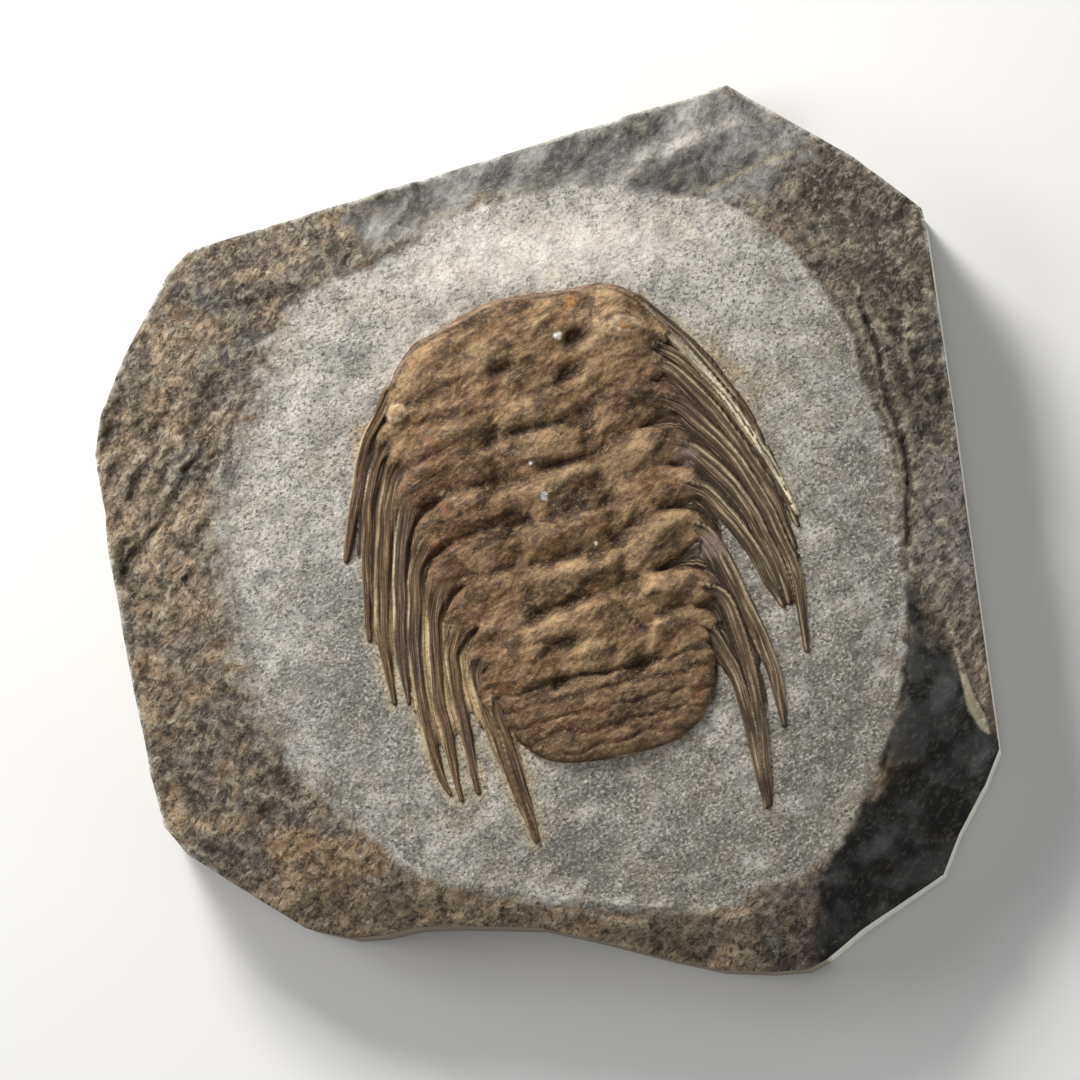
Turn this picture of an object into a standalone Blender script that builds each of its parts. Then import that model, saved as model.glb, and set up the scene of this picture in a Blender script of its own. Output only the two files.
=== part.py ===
"""A fossil trilobite with long swept-back spines, lying on the block of rock that it was found in.

The block lies on its flat sawn back. +Z is up, +Y runs towards the animal's head, and the origin is
the middle of the back.
"""

import functools
import itertools
import math
import random

import bmesh
import bpy
import numpy as np
from mathutils import Vector, geometry

MM = 0.001
INSIDE_ONLY = 1
MERGE_DISTANCE = 1e-4

# The block of rock, in millimetres.
SLAB_THICKNESS = 30.0
ZONE_CROWN = 1.4
ZONE_CROWN_WIDTH = 14.0
LIP_HEIGHT = 1.0
LIP_DIRECTION = math.radians(-95)
LIP_WIDTH = 1.3
LIP_MARGIN = 1.0
RIM_FADE = 4.0
RIM_POINT_SPACING = 3.9
ZONE_POINT_SPACING = 7.5
EDGE_SPACING = 4.0
FACET_SPACING = 11.0
FACET_STEP = 1.1
FACET_SLOPE = 0.11
FACET_FADE = 3.0
ROCK_SEED = 31
SLAB_REACH = 96.0
MARGIN_SHARE = 0.42

# The block's outline, clockwise from its upper left corner. Long gaps between points are sawn straight.
SLAB_OUTLINE = [
    (-71.4, 55.7), (31.0, 86.7), (36.4, 88.5), (41.0, 85.7), (61.2, 74.1), (75.2, 63.3), (76.0, 60.1),
    (81.2, 24.1), (90.2, -44.3), (87.4, -51.3), (82.2, -60.9), (79.0, -69.1), (63.0, -80.1),
    (56.0, -85.9), (52.2, -87.9), (45.0, -88.5), (34.8, -88.1), (24.6, -85.9), (10.8, -82.3),
    (-1.0, -79.7), (-17.6, -79.3), (-25.4, -79.5), (-33.0, -81.1), (-38.8, -81.5), (-47.8, -79.5),
    (-62.4, -70.5), (-71.4, -64.7), (-76.2, -59.1), (-78.8, -48.7), (-80.0, -41.1), (-83.4, -25.1),
    (-87.4, -3.9), (-88.0, 3.7), (-90.2, 15.3), (-89.0, 22.9), (-83.0, 36.9), (-75.8, 51.1),
]

# The border of the pale area that was worked over round the fossil, clockwise from its upper left.
ZONE_OUTLINE = [
    (-50.2, 42.5), (-41.4, 48.7), (-27.6, 55.3), (-20.6, 60.9), (-10.0, 64.5), (0.2, 67.1), (10.6, 67.9),
    (20.8, 66.1), (31.0, 64.9), (38.6, 63.3), (49.0, 54.9), (54.0, 48.5), (61.0, 38.3), (63.0, 29.3),
    (69.2, 13.9), (71.0, -6.5), (72.0, -15.5), (70.6, -33.5), (65.6, -48.7), (59.8, -62.3),
    (50.2, -69.9), (41.2, -72.5), (38.6, -75.7), (22.0, -76.9), (3.4, -75.3), (-13.8, -72.7),
    (-24.8, -69.3), (-38.6, -57.5), (-49.0, -47.9), (-58.6, -32.1), (-63.4, -8.5), (-64.0, 5.3),
    (-57.2, 25.9),
]

# The rim broke along these planes: the direction that each faces in degrees, how far from the middle it
# leaves the worked-over level, and how much it falls for each millimetre outwards.
RIM_PLANES = [
    (-30, 80.0, 0.50), (-62, 86.0, 0.58), (-97, 73.0, 0.85), (-135, 69.0, 0.31), (180, 63.0, 0.26),
    (145, 66.0, 0.25), (106.8, 62.0, 0.52), (58, 74.0, 0.29), (8, 70.0, 0.34),
]

# A band along the right edge stayed above the break beside it and falls by its own slope from x = BAND_START.
BAND_EDGE = [(73.0, -8.0), (80.5, -23.0), (90.0, -43.5)]
OUTER_BAND = BAND_EDGE + [(110.0, -50.0), (110.0, 20.0), (74.0, 14.0)]
BAND_START = 71.0
BAND_SLOPE = 0.27
BAND_FADE = 2.5

# The fossil, in millimetres above the worked-over surface.
GAP = 0.3
STATION_SPACING = 3.1
TIP_HALF_WIDTH = 0.45
TIP_HEIGHT = 0.9
SPINE_HEIGHT = 1.9
SPINE_TAPER = 0.45
BODY_HALF_WIDTHS = [4.0, 5.3, 5.4, 5.6, 5.4, 5.3, 4.0]
BODY_HEIGHTS = [3.2, 4.7, 3.9, 6.4, 3.9, 4.7, 3.2]

# Across a segment or spine, from its rear or inner edge (-1) to its front or outer edge (1), the share
# of its height: a low ridge, a groove along it, and a higher ridge in front.
SEGMENT_PROFILE = [(-1, 0), (-0.86, 0.46), (-0.38, 0.8), (-0.02, 0.76), (0.42, 1), (0.84, 0.62), (1, 0)]

# Each segment runs from the tip of its left spine, over left rib, axis and right rib, to the tip of its
# right spine. The seven body points are rib end, rib, furrow, axial ring, furrow, rib and rib end.
SEGMENTS = [
    {
        "left": [(-34.2, -22.7), (-34.8, -10.7), (-34.8, -0.7), (-34, 7.3), (-32, 13.8)],
        "body": [(-28, 18.4), (-17, 21.3), (-10, 23.7), (-2, 26.5), (6, 30.5), (13, 34), (19.5, 35.6)],
        "right": [(24, 34.9), (29, 31.6), (33.4, 27.3), (38, 21.9), (42.4, 15.9), (46.6, 9.3), (50.8, -0.3)],
        "spine": (1.2, 1.3),
    },
    {
        "left": [(-29.4, -35.3), (-31.2, -24.7), (-31.8, -14.7), (-31.4, -2.7), (-30.8, 4.3), (-29.4, 9.8)],
        "body": [(-26, 13.6), (-18, 16), (-9.6, 18.3), (-1, 20.7), (7.4, 25.3), (13.4, 28.7), (20, 31.3)],
        "right": [(24.6, 31.2), (29, 28), (33, 23.7), (37.6, 18.1), (42, 12.1), (46, 5.3), (50.4, -4.7)],
        "spine": (1.9, 1.5),
    },
    {
        "left": [(-26.4, -35.3), (-27.9, -24.7), (-28.3, -12.7), (-27.9, -2.7)],
        "body": [(-25, 6.6), (-17, 10.6), (-9, 12.5), (0, 14.4), (9.4, 18.1), (16, 22.3), (22, 24.4)],
        "right": [(27, 23.5), (31, 20.3), (38, 13.3), (43.2, 5.3), (47.2, -2.7), (50.4, -10.7), (52.6, -25.1)],
        "spine": (1.7, 1.7),
    },
    {
        "left": [(-18.2, -53.3), (-21, -47.1), (-23.4, -37.1), (-25, -26.7), (-25.3, -14.7), (-24.6, -7.2)],
        "body": [(-21.2, -1.4), (-14, 1.8), (-6.4, 3.7), (2, 5.7), (11.6, 8.9), (18, 13), (25, 15.4)],
        "right": [(29.6, 14.7), (35.8, 9.5), (39.4, 5.3), (44, -2.7), (47.6, -10.7), (49.2, -15.7)],
        "spine": (1.6, 1.8),
    },
    {
        "left": [(-15.8, -54.7), (-18.4, -43.7), (-20.4, -34.7), (-21.2, -24.7), (-21.2, -17)],
        "body": [(-18.2, -9.6), (-11.5, -6.6), (-4.2, -5.1), (5, -2.7), (13.8, 0.5), (20, 4.9), (26.6, 7.7)],
        "right": [(31, 6.8), (34.2, 4.5), (40.6, -3.3), (45, -10.7), (47.8, -16.1)],
        "spine": (1.5, 1.8),
    },
    {
        "left": [(-12.6, -53.1), (-15.4, -39.7), (-17.2, -30.7), (-17.8, -24.6)],
        "body": [(-15, -17.8), (-9.5, -15.3), (-2, -13.7), (7, -11.3), (16.2, -7.9), (22, -4.1), (28, -0.9)],
        "right": [(32.4, -1.8), (37, -9.1), (41.4, -18.3), (45.6, -28.3), (47, -33.7), (48, -40.1)],
        "spine": (1.5, 1.7),
    },
    {
        "left": [(-1, -62.7), (-6.2, -49.7), (-10.6, -37.7), (-13, -29.4)],
        "body": [(-10.6, -24.8), (-6, -22.9), (1, -21.5), (10, -19.7), (18.6, -16.3), (23.6, -14.7), (30, -12.7)],
        "right": [(34.2, -13.4), (37, -16.3), (40.4, -25.9), (42.6, -35.7), (44.4, -48.7), (45.2, -55.7)],
        "spine": (1.6, 1.4),
    },
    {
        "left": [(-0.8, -62.3), (-5, -48.3), (-8.8, -37.4)],
        "body": [(-8.6, -32.6), (-3, -30.1), (3.4, -28.3), (12, -26.7), (20.4, -24.3), (25.4, -22.7), (30.6, -20.5)],
        "right": [(34.2, -22.3), (38.2, -29.9), (41, -39.1), (43.4, -49.7), (44.6, -56.3)],
        "spine": (1.4, 1.4),
    },
]

# Spines that grow from the corners of the head, each from its root to its tip, with its half width.
CHEEK_SPINES = [
    ([(-30.6, 26.5), (-32.6, 21.7), (-35.2, 16.0), (-36.3, 10.3), (-37.3, 3.3), (-38.4, -3.7), (-39.0, -7.1)], 1.25),
    ([(20.5, 42.8), (24.6, 38.6), (33.0, 29.5), (41.0, 19.1), (47.0, 9.5), (50.6, 2.3)], 1.0),
    ([(19.0, 45.0), (24.0, 40.9), (29.0, 36.5), (35.0, 29.9), (40.0, 23.5), (44.0, 16.3)], 0.8),
]

# The head's outline, clockwise from its left cheek, and then back along its rear margin.
HEAD_OUTLINE = [
    (-31.4, 24.6), (-29.4, 30.3), (-25.6, 36.1), (-21.0, 38.5), (-14.0, 42.3), (-9.0, 44.7), (1.0, 46.3),
    (12.0, 47.9), (18.0, 46.1), (22.0, 42.7), (26.0, 38.4), (21.0, 33.5), (8.0, 29.0), (-4.0, 23.0),
    (-16.0, 19.0), (-27.0, 18.0), (-31.0, 20.0),
]
HEAD_BORDER_HEIGHT = 1.5
HEAD_DOME_HEIGHT = 2.3
HEAD_DOME_WIDTH = 4.0
HEAD_EDGE_FADE = 2.0
HEAD_POINT_SPACING = 2.1
# Each lump of the head: middle, half length, half width, turn in degrees and height.
HEAD_LUMPS = [
    ((-3.0, 34.0), 9.0, 6.5, 75, 2.2),
    ((-6.0, 40.5), 6.0, 2.6, 12, 0.7),
    ((-19.0, 30.0), 7.5, 5.0, 35, 1.2),
    ((-13.0, 24.5), 5.0, 2.6, 15, 0.8),
    ((14.0, 37.0), 5.5, 4.5, 20, 1.0),
    ((6.5, 44.2), 2.8, 1.8, 60, 0.9),
]
HEAD_FURROW = [(9.6, 46.0), (8.4, 41.0), (6.4, 36.5), (3.5, 32.0)]
HEAD_FURROW_DEPTH = 1.9
HEAD_FURROW_WIDTH = 1.7
# Each eye: middle, half length, half width and turn in degrees.
EYES = [((-28.8, 22.3), 1.9, 1.7, 30), ((16.6, 39.7), 2.6, 1.5, -8)]
EYE_TOP = 5.0

# The tail's outline, clockwise from its left front corner.
TAIL_OUTLINE = [
    (-9.0, -33.5), (-3.0, -28.5), (12.0, -25.0), (27.0, -21.5), (33.6, -24.0), (34.6, -28.7), (33.6, -34.0),
    (31.0, -39.1), (25.4, -43.1), (16.0, -45.7), (5.0, -47.3), (-2.0, -45.1), (-7.0, -40.3), (-9.0, -36.0),
]
TAIL_BORDER_HEIGHT = 1.3
TAIL_DOME_HEIGHT = 2.7
TAIL_DOME_WIDTH = 5.5
TAIL_EDGE_FADE = 4.0
TAIL_POINT_SPACING = 1.9
TAIL_AXIS = [(12.0, -27.0), (14.0, -41.0)]
TAIL_AXIS_HEIGHT = 1.1
TAIL_AXIS_HALF_WIDTH = 6.5
TAIL_RIB_PITCH = 4.2
TAIL_RIB_HEIGHT = 0.55
TAIL_RIB_TURN = math.radians(13)

# The raw solids reach below the surface, each a step deeper than the last, before their flat underside is
# cut by a block of this width, depth and height.
ROOT_DEPTH = 2.0
ROOT_STEP = 0.07
CUTTER_SIZE = (130.0, 150.0, 12.0)


def clear_scene():
    for item in list(bpy.data.objects):
        bpy.data.objects.remove(item, do_unlink=True)


def make_material(name, colour, roughness):
    material = bpy.data.materials.new(name)
    material.use_nodes = True
    shader = material.node_tree.nodes["Principled BSDF"]
    shader.inputs["Base Color"].default_value = (*colour, 1.0)
    shader.inputs["Roughness"].default_value = roughness
    shader.inputs["Metallic"].default_value = 0.0
    return material


def smooth_points(controls, spacing, closed=False):
    """Points on a Catmull-Rom curve through the controls, about this far apart. Controls may have any
    number of values, such as x, y, half width and height."""
    controls = [np.array(point, float) for point in controls]
    count = len(controls)
    found = []
    for index in range(count if closed else count - 1):
        if closed:
            before, start, end, after = (controls[(index + step) % count] for step in (-1, 0, 1, 2))
        else:
            start, end = controls[index], controls[index + 1]
            before = controls[index - 1] if index else 2 * start - end
            after = controls[index + 2] if index + 2 < count else 2 * end - start
        steps = max(1, round(float(np.hypot(*(end - start)[:2])) / spacing))
        for step in range(steps):
            t = step / steps
            point = 2 * start + (end - before) * t
            point += (2 * before - 5 * start + 4 * end - after) * t ** 2
            point += (3 * start - before - 3 * end + after) * t ** 3
            found.append(tuple(point / 2))
    return found if closed else found + [tuple(controls[-1])]


def straight_points(corners, spacing):
    """A closed outline's corners with points between them on its straight sides."""
    found = []
    for (ax, ay), (bx, by) in zip(corners, corners[1:] + corners[:1]):
        steps = max(1, round(math.hypot(bx - ax, by - ay) / spacing))
        found += [(ax + (bx - ax) * step / steps, ay + (by - ay) * step / steps) for step in range(steps)]
    return found


def distance_to_line(x, y, line, closed=False):
    """Distance from each point (arrays x and y) to a polyline."""
    nearest = np.full(np.shape(x), np.inf)
    ends = list(zip(line, line[1:])) + ([(line[-1], line[0])] if closed else [])
    for (ax, ay), (bx, by) in ends:
        dx, dy = bx - ax, by - ay
        along = np.clip(((x - ax) * dx + (y - ay) * dy) / (dx * dx + dy * dy), 0, 1)
        nearest = np.minimum(nearest, np.hypot(x - ax - along * dx, y - ay - along * dy))
    return nearest


def inside(x, y, outline):
    """Whether each point lies inside a closed outline."""
    within = np.zeros(np.shape(x), bool)
    for (ax, ay), (bx, by) in zip(outline, outline[1:] + outline[:1]):
        if ay == by:
            continue
        crosses = ((ay > y) != (by > y)) & (x < (bx - ax) * (y - ay) / (by - ay) + ax)
        within ^= crosses
    return within


def depth_in(x, y, outline):
    """Distance to an outline, positive inside it and negative outside."""
    distance = distance_to_line(x, y, outline, closed=True)
    return np.where(inside(x, y, outline), distance, -distance)


def ease(value):
    value = np.clip(value, 0, 1)
    return value * value * (3 - 2 * value)


def scattered_points(outline, spacing, rng):
    """Points on a shaken triangular grid inside an outline, a little away from it."""
    xs, ys = np.array(outline).T
    found = []
    row_height = spacing * math.sqrt(3) / 2
    for row, y in enumerate(np.arange(ys.min(), ys.max(), row_height)):
        for x in np.arange(xs.min() + (row % 2) * spacing / 2, xs.max(), spacing):
            px, py = x + rng.uniform(-0.25, 0.25) * spacing, y + rng.uniform(-0.25, 0.25) * spacing
            if depth_in(px, py, outline) > MARGIN_SHARE * spacing:
                found.append((px, py))
    return found


def relief_solid(outline, inner, lines, height, bottom):
    """A closed mesh: a triangulated top whose height is a function of place, upright sides and a flat bottom.
    inner holds free points, and lines holds lists of points that edges follow."""
    corners = [Vector(point) for point in outline]
    edges = []
    for line in lines:
        first = len(corners)
        corners += [Vector(point) for point in line]
        edges += [(index, index + 1) for index in range(first, len(corners) - 1)]
    corners += [Vector(point) for point in inner]
    face = list(range(len(outline)))
    triangulation = geometry.delaunay_2d_cdt(corners, edges, [face], INSIDE_ONLY, MERGE_DISTANCE)
    flat, _, triangles, origins = triangulation[:4]
    places = np.array([tuple(point) for point in flat])
    heights = height(places[:, 0], places[:, 1])
    mesh = bmesh.new()
    top = [mesh.verts.new((x * MM, y * MM, z * MM)) for (x, y), z in zip(places, heights)]
    for triangle in triangles:
        mesh.faces.new([top[index] for index in triangle])
    rim = {origin: index for index, found in enumerate(origins) for origin in found if origin < len(outline)}
    upper = [top[rim[index]] for index in face]
    lower = [mesh.verts.new((vert.co.x, vert.co.y, bottom * MM)) for vert in upper]
    for index in face:
        after = (index + 1) % len(face)
        mesh.faces.new([upper[index], upper[after], lower[after], lower[index]])
    mesh.faces.new(lower)
    bmesh.ops.recalc_face_normals(mesh, faces=mesh.faces)
    return mesh


def to_object(mesh, name, material):
    data = bpy.data.meshes.new(name)
    mesh.to_mesh(data)
    mesh.free()
    data.materials.append(material)
    item = bpy.data.objects.new(name, data)
    bpy.context.scene.collection.objects.link(item)
    return item


def facet_cells():
    """Broken rock: cells with a middle, a step up or down and a slope each way."""
    rng = random.Random(ROCK_SEED)
    cells = []
    for x in np.arange(-SLAB_REACH, SLAB_REACH, FACET_SPACING):
        for y in np.arange(-SLAB_REACH, SLAB_REACH, FACET_SPACING):
            middle = x + rng.uniform(-0.5, 0.5) * FACET_SPACING, y + rng.uniform(-0.5, 0.5) * FACET_SPACING
            slope = rng.uniform(-FACET_SLOPE, FACET_SLOPE), rng.uniform(-FACET_SLOPE, FACET_SLOPE)
            cells.append((middle, rng.uniform(-FACET_STEP, FACET_STEP), slope))
    return cells


def facet_height(x, y, cells):
    """Height of the broken facet that each point lies on, against the rock's mean surface."""
    nearest = np.full(np.shape(x), np.inf)
    height = np.zeros(np.shape(x))
    for (cx, cy), step, (slope_x, slope_y) in cells:
        distance = np.hypot(x - cx, y - cy)
        plane = step + slope_x * (x - cx) + slope_y * (y - cy)
        height = np.where(distance < nearest, plane, height)
        nearest = np.minimum(nearest, distance)
    return height


def rim_drop(x, y):
    """How far the rim's break planes lie below the worked-over level."""
    drop = np.zeros(np.shape(x))
    for direction, distance, slope in RIM_PLANES:
        turn = math.radians(direction)
        outwards = x * math.cos(turn) + y * math.sin(turn) - distance
        drop = np.maximum(drop, slope * outwards)
    band_drop = BAND_SLOPE * np.maximum(x - BAND_START, 0)
    return drop - np.maximum(drop - band_drop, 0) * ease(depth_in(x, y, OUTER_BAND) / BAND_FADE)


def slab_height(x, y, zone, cells):
    """Top of the rock: a gently crowned worked-over zone, a lip round it, and a broken rim that falls away."""
    into_zone = depth_in(x, y, zone)
    out_of_zone = np.maximum(-into_zone, 0)
    zone_edge = SLAB_THICKNESS - ZONE_CROWN
    zone_top = zone_edge + ZONE_CROWN * ease(into_zone / ZONE_CROWN_WIDTH)
    lip = LIP_HEIGHT * (0.5 + 0.5 * np.cos(np.arctan2(y, x) - LIP_DIRECTION)) * ease(out_of_zone / LIP_WIDTH)
    broken = facet_height(x, y, cells) * ease(out_of_zone / FACET_FADE)
    rim_top = zone_edge + lip + broken - rim_drop(x, y) * ease(out_of_zone / RIM_FADE)
    return np.where(into_zone >= 0, zone_top, rim_top)


def build_slab(material):
    rng = random.Random(ROCK_SEED + 1)
    outline = straight_points(SLAB_OUTLINE, EDGE_SPACING)
    zone = smooth_points(ZONE_OUTLINE, EDGE_SPACING, closed=True)
    cells = facet_cells()
    rim = scattered_points(outline, RIM_POINT_SPACING, rng)
    rim = [(x, y) for x, y in rim if depth_in(x, y, zone) < -LIP_WIDTH - LIP_MARGIN]
    lip = [(x, y) for x, y in lip_points(zone) if depth_in(x, y, outline) > LIP_MARGIN]
    middle = scattered_points(zone, ZONE_POINT_SPACING, rng)
    mesh = relief_solid(
        outline, rim + lip + middle, [zone + zone[:1], BAND_EDGE],
        functools.partial(slab_height, zone=zone, cells=cells), 0.0,
    )
    return to_object(mesh, "matrix_slab", material)


def lip_points(zone):
    """Points just outside the zone's border, where the rim's lip stands."""
    found = []
    for (ax, ay), (x, y), (bx, by) in zip(zone[-1:] + zone[:-1], zone, zone[1:] + zone[:1]):
        share = LIP_WIDTH / math.hypot(bx - ax, by - ay)
        found.append((x - (by - ay) * share, y + (bx - ax) * share))
    return found


def strip_solid(stations, root):
    """A closed solid swept along stations of x, y, half width and height, with the segment's profile."""
    mesh = bmesh.new()
    places = np.array([station[:2] for station in stations])
    along = np.gradient(places, axis=0)
    along /= np.linalg.norm(along, axis=1)[:, None]
    rings = []
    for (x, y, half_width, height), (ax, ay) in zip(stations, along):
        ring = []
        for across, share in SEGMENT_PROFILE:
            aside = across * half_width
            top = SLAB_THICKNESS + (share * height if share else -root)
            ring.append(mesh.verts.new(((x - ay * aside) * MM, (y + ax * aside) * MM, top * MM)))
        rings.append(ring)
    for ring, following in zip(rings, rings[1:]):
        for index in range(len(ring)):
            after = (index + 1) % len(ring)
            mesh.faces.new([ring[index], ring[after], following[after], following[index]])
    mesh.faces.new(rings[0])
    mesh.faces.new(rings[-1])
    bmesh.ops.recalc_face_normals(mesh, faces=mesh.faces)
    return mesh


def spine_controls(points, half_width):
    """Control values of a spine from its tip to its root."""
    last = len(points) - 1
    found = []
    for index, (x, y) in enumerate(points):
        share = (index / last) ** SPINE_TAPER
        width = TIP_HALF_WIDTH + (half_width - TIP_HALF_WIDTH) * share
        found.append((x, y, width, TIP_HEIGHT + (SPINE_HEIGHT - TIP_HEIGHT) * share))
    return found


def segment_stations(segment):
    left_width, right_width = segment["spine"]
    left = spine_controls(segment["left"], left_width)
    right = spine_controls(segment["right"][::-1], right_width)[::-1]
    body = [(x, y, w, h) for (x, y), w, h in zip(segment["body"], BODY_HALF_WIDTHS, BODY_HEIGHTS)]
    return smooth_points(left + body + right, STATION_SPACING)


def ellipse_share(x, y, middle, half_length, half_width, turn):
    """Squared distance from an ellipse's middle, 1 on its edge."""
    cosine, sine = math.cos(math.radians(turn)), math.sin(math.radians(turn))
    dx, dy = x - middle[0], y - middle[1]
    return ((dx * cosine + dy * sine) / half_length) ** 2 + ((dy * cosine - dx * sine) / half_width) ** 2


def head_height(x, y, outline):
    depth = np.maximum(depth_in(x, y, outline), 0)
    height = HEAD_BORDER_HEIGHT + HEAD_DOME_HEIGHT * (1 - np.exp(-depth / HEAD_DOME_WIDTH))
    for middle, half_length, half_width, turn, rise in HEAD_LUMPS:
        height += rise * np.exp(-ellipse_share(x, y, middle, half_length, half_width, turn))
    furrow = distance_to_line(x, y, HEAD_FURROW) / HEAD_FURROW_WIDTH
    return SLAB_THICKNESS + height - HEAD_FURROW_DEPTH * np.exp(-furrow ** 2) * ease(depth / HEAD_EDGE_FADE)


def tail_height(x, y, outline):
    depth = np.maximum(depth_in(x, y, outline), 0)
    height = TAIL_BORDER_HEIGHT + TAIL_DOME_HEIGHT * (1 - np.exp(-depth / TAIL_DOME_WIDTH))
    from_axis = distance_to_line(x, y, TAIL_AXIS) / TAIL_AXIS_HALF_WIDTH
    height += TAIL_AXIS_HEIGHT * np.exp(-from_axis ** 4)
    down = (y * math.cos(TAIL_RIB_TURN) - x * math.sin(TAIL_RIB_TURN)) / TAIL_RIB_PITCH
    height += TAIL_RIB_HEIGHT * np.cos(2 * math.pi * down) * ease(depth / TAIL_EDGE_FADE)
    return SLAB_THICKNESS + height


def eye_solid(eye, root):
    """A low oval dome that stands on the head."""
    middle, half_length, half_width, turn = eye
    mesh = bmesh.new()
    bmesh.ops.create_uvsphere(mesh, u_segments=10, v_segments=6, radius=1.0)
    cosine, sine = math.cos(math.radians(turn)), math.sin(math.radians(turn))
    rise = EYE_TOP + root
    for vert in mesh.verts:
        x, y = vert.co.x * half_length, vert.co.y * half_width
        vert.co = (
            (middle[0] + x * cosine - y * sine) * MM,
            (middle[1] + x * sine + y * cosine) * MM,
            (SLAB_THICKNESS - root + rise * (vert.co.z + 1) / 2) * MM,
        )
    return mesh


def raw_solids():
    """The fossil's parts before they are united, each rooted a step deeper than the last."""
    rng = random.Random(ROCK_SEED + 2)
    roots = (ROOT_DEPTH + ROOT_STEP * step for step in itertools.count())
    head = smooth_points(HEAD_OUTLINE, HEAD_POINT_SPACING, closed=True)
    tail = smooth_points(TAIL_OUTLINE, TAIL_POINT_SPACING, closed=True)
    solids = [strip_solid(segment_stations(segment), next(roots)) for segment in SEGMENTS]
    for points, half_width in CHEEK_SPINES:
        controls = spine_controls(points[::-1], half_width)
        if points[0][0] > 0:
            controls = controls[::-1]
        solids.append(strip_solid(smooth_points(controls, STATION_SPACING), next(roots)))
    for outline, spacing, height in (
        (head, HEAD_POINT_SPACING, head_height),
        (tail, TAIL_POINT_SPACING, tail_height),
    ):
        inner = scattered_points(outline, spacing, rng)
        bottom = SLAB_THICKNESS - next(roots)
        solids.append(relief_solid(outline, inner, [], functools.partial(height, outline=outline), bottom))
    return solids + [eye_solid(eye, next(roots)) for eye in EYES]


def build_trilobite(material):
    """Unites segments, spines, head, tail and eyes, and cuts their underside flat just above the rock."""
    pieces = [to_object(mesh, f"trilobite_raw_{index}", material) for index, mesh in enumerate(raw_solids())]
    trilobite = pieces[0]
    trilobite.name = "trilobite"
    for index, piece in enumerate(pieces[1:]):
        join = trilobite.modifiers.new(f"join_{index}", "BOOLEAN")
        join.operation = "UNION"
        join.solver = "EXACT"
        join.use_self = True
        join.object = piece
        hide_helper(piece)
    cut = trilobite.modifiers.new("flat_underside", "BOOLEAN")
    cut.operation = "DIFFERENCE"
    cut.solver = "EXACT"
    cut.object = underside_cutter(material)


def underside_cutter(material):
    """A block whose top is the fossil's flat underside, a hair above the rock."""
    mesh = bmesh.new()
    bmesh.ops.create_cube(mesh, size=1.0)
    width, depth, height = CUTTER_SIZE
    top = SLAB_THICKNESS + GAP
    for vert in mesh.verts:
        vert.co = (vert.co.x * width * MM, vert.co.y * depth * MM, (top + (vert.co.z - 0.5) * height) * MM)
    cutter = to_object(mesh, "underside_cutter", material)
    hide_helper(cutter)
    return cutter


def hide_helper(item):
    item.hide_render = True
    item.display_type = "WIRE"


def main():
    clear_scene()
    rock = make_material("rock", (0.30, 0.28, 0.25), 0.92)
    shell = make_material("fossil_shell", (0.32, 0.20, 0.11), 0.75)
    build_slab(rock)
    build_trilobite(shell)


main()
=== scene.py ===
"""The looks of a fossil trilobite on its block of rock: fine relief, finishes, light and camera.

Lengths are in millimetres, and MM turns them into the scene's metres. The block lies on its sawn back,
+Y runs towards the animal's head, and the fossil stands on the pale worked-over zone at SLAB_THICKNESS.
"""

import math
import random

import bpy
import numpy as np
from mathutils import Matrix, Vector, geometry


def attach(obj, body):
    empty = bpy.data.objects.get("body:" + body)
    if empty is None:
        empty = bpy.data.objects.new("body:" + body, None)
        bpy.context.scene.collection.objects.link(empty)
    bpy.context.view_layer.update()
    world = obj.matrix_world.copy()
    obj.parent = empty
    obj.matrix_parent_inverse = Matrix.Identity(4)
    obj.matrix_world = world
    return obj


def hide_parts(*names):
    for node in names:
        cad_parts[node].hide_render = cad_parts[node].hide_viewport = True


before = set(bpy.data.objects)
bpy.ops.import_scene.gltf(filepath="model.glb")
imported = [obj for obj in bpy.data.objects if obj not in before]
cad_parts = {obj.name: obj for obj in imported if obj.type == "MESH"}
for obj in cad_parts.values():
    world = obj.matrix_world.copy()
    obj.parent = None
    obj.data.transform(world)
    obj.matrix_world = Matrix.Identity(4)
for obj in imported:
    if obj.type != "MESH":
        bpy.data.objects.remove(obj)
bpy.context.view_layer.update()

MM = 0.001
ALL_TRIANGLES = 0
INSIDE_ONLY = 1
MERGE_DISTANCE = 1e-4
# Factors that mix a lattice point and a seed into a repeatable number, and the bits that are kept of it.
LATTICE_PRIMES = (374761393, 668265263, 974711, 1274126177)
LATTICE_MASK = 0xFFFFFFFF

# The block of rock, with the values that its solid has.
SLAB_THICKNESS = 30.0
ZONE_CROWN = 1.4
ZONE_CROWN_WIDTH = 14.0
LIP_HEIGHT = 1.0
LIP_DIRECTION = math.radians(-95)
LIP_WIDTH = 1.3
RIM_FADE = 4.0
FACET_SPACING = 11.0
FACET_STEP = 1.1
FACET_SLOPE = 0.11
FACET_FADE = 3.0
ROCK_SEED = 31
SLAB_REACH = 96.0

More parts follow.
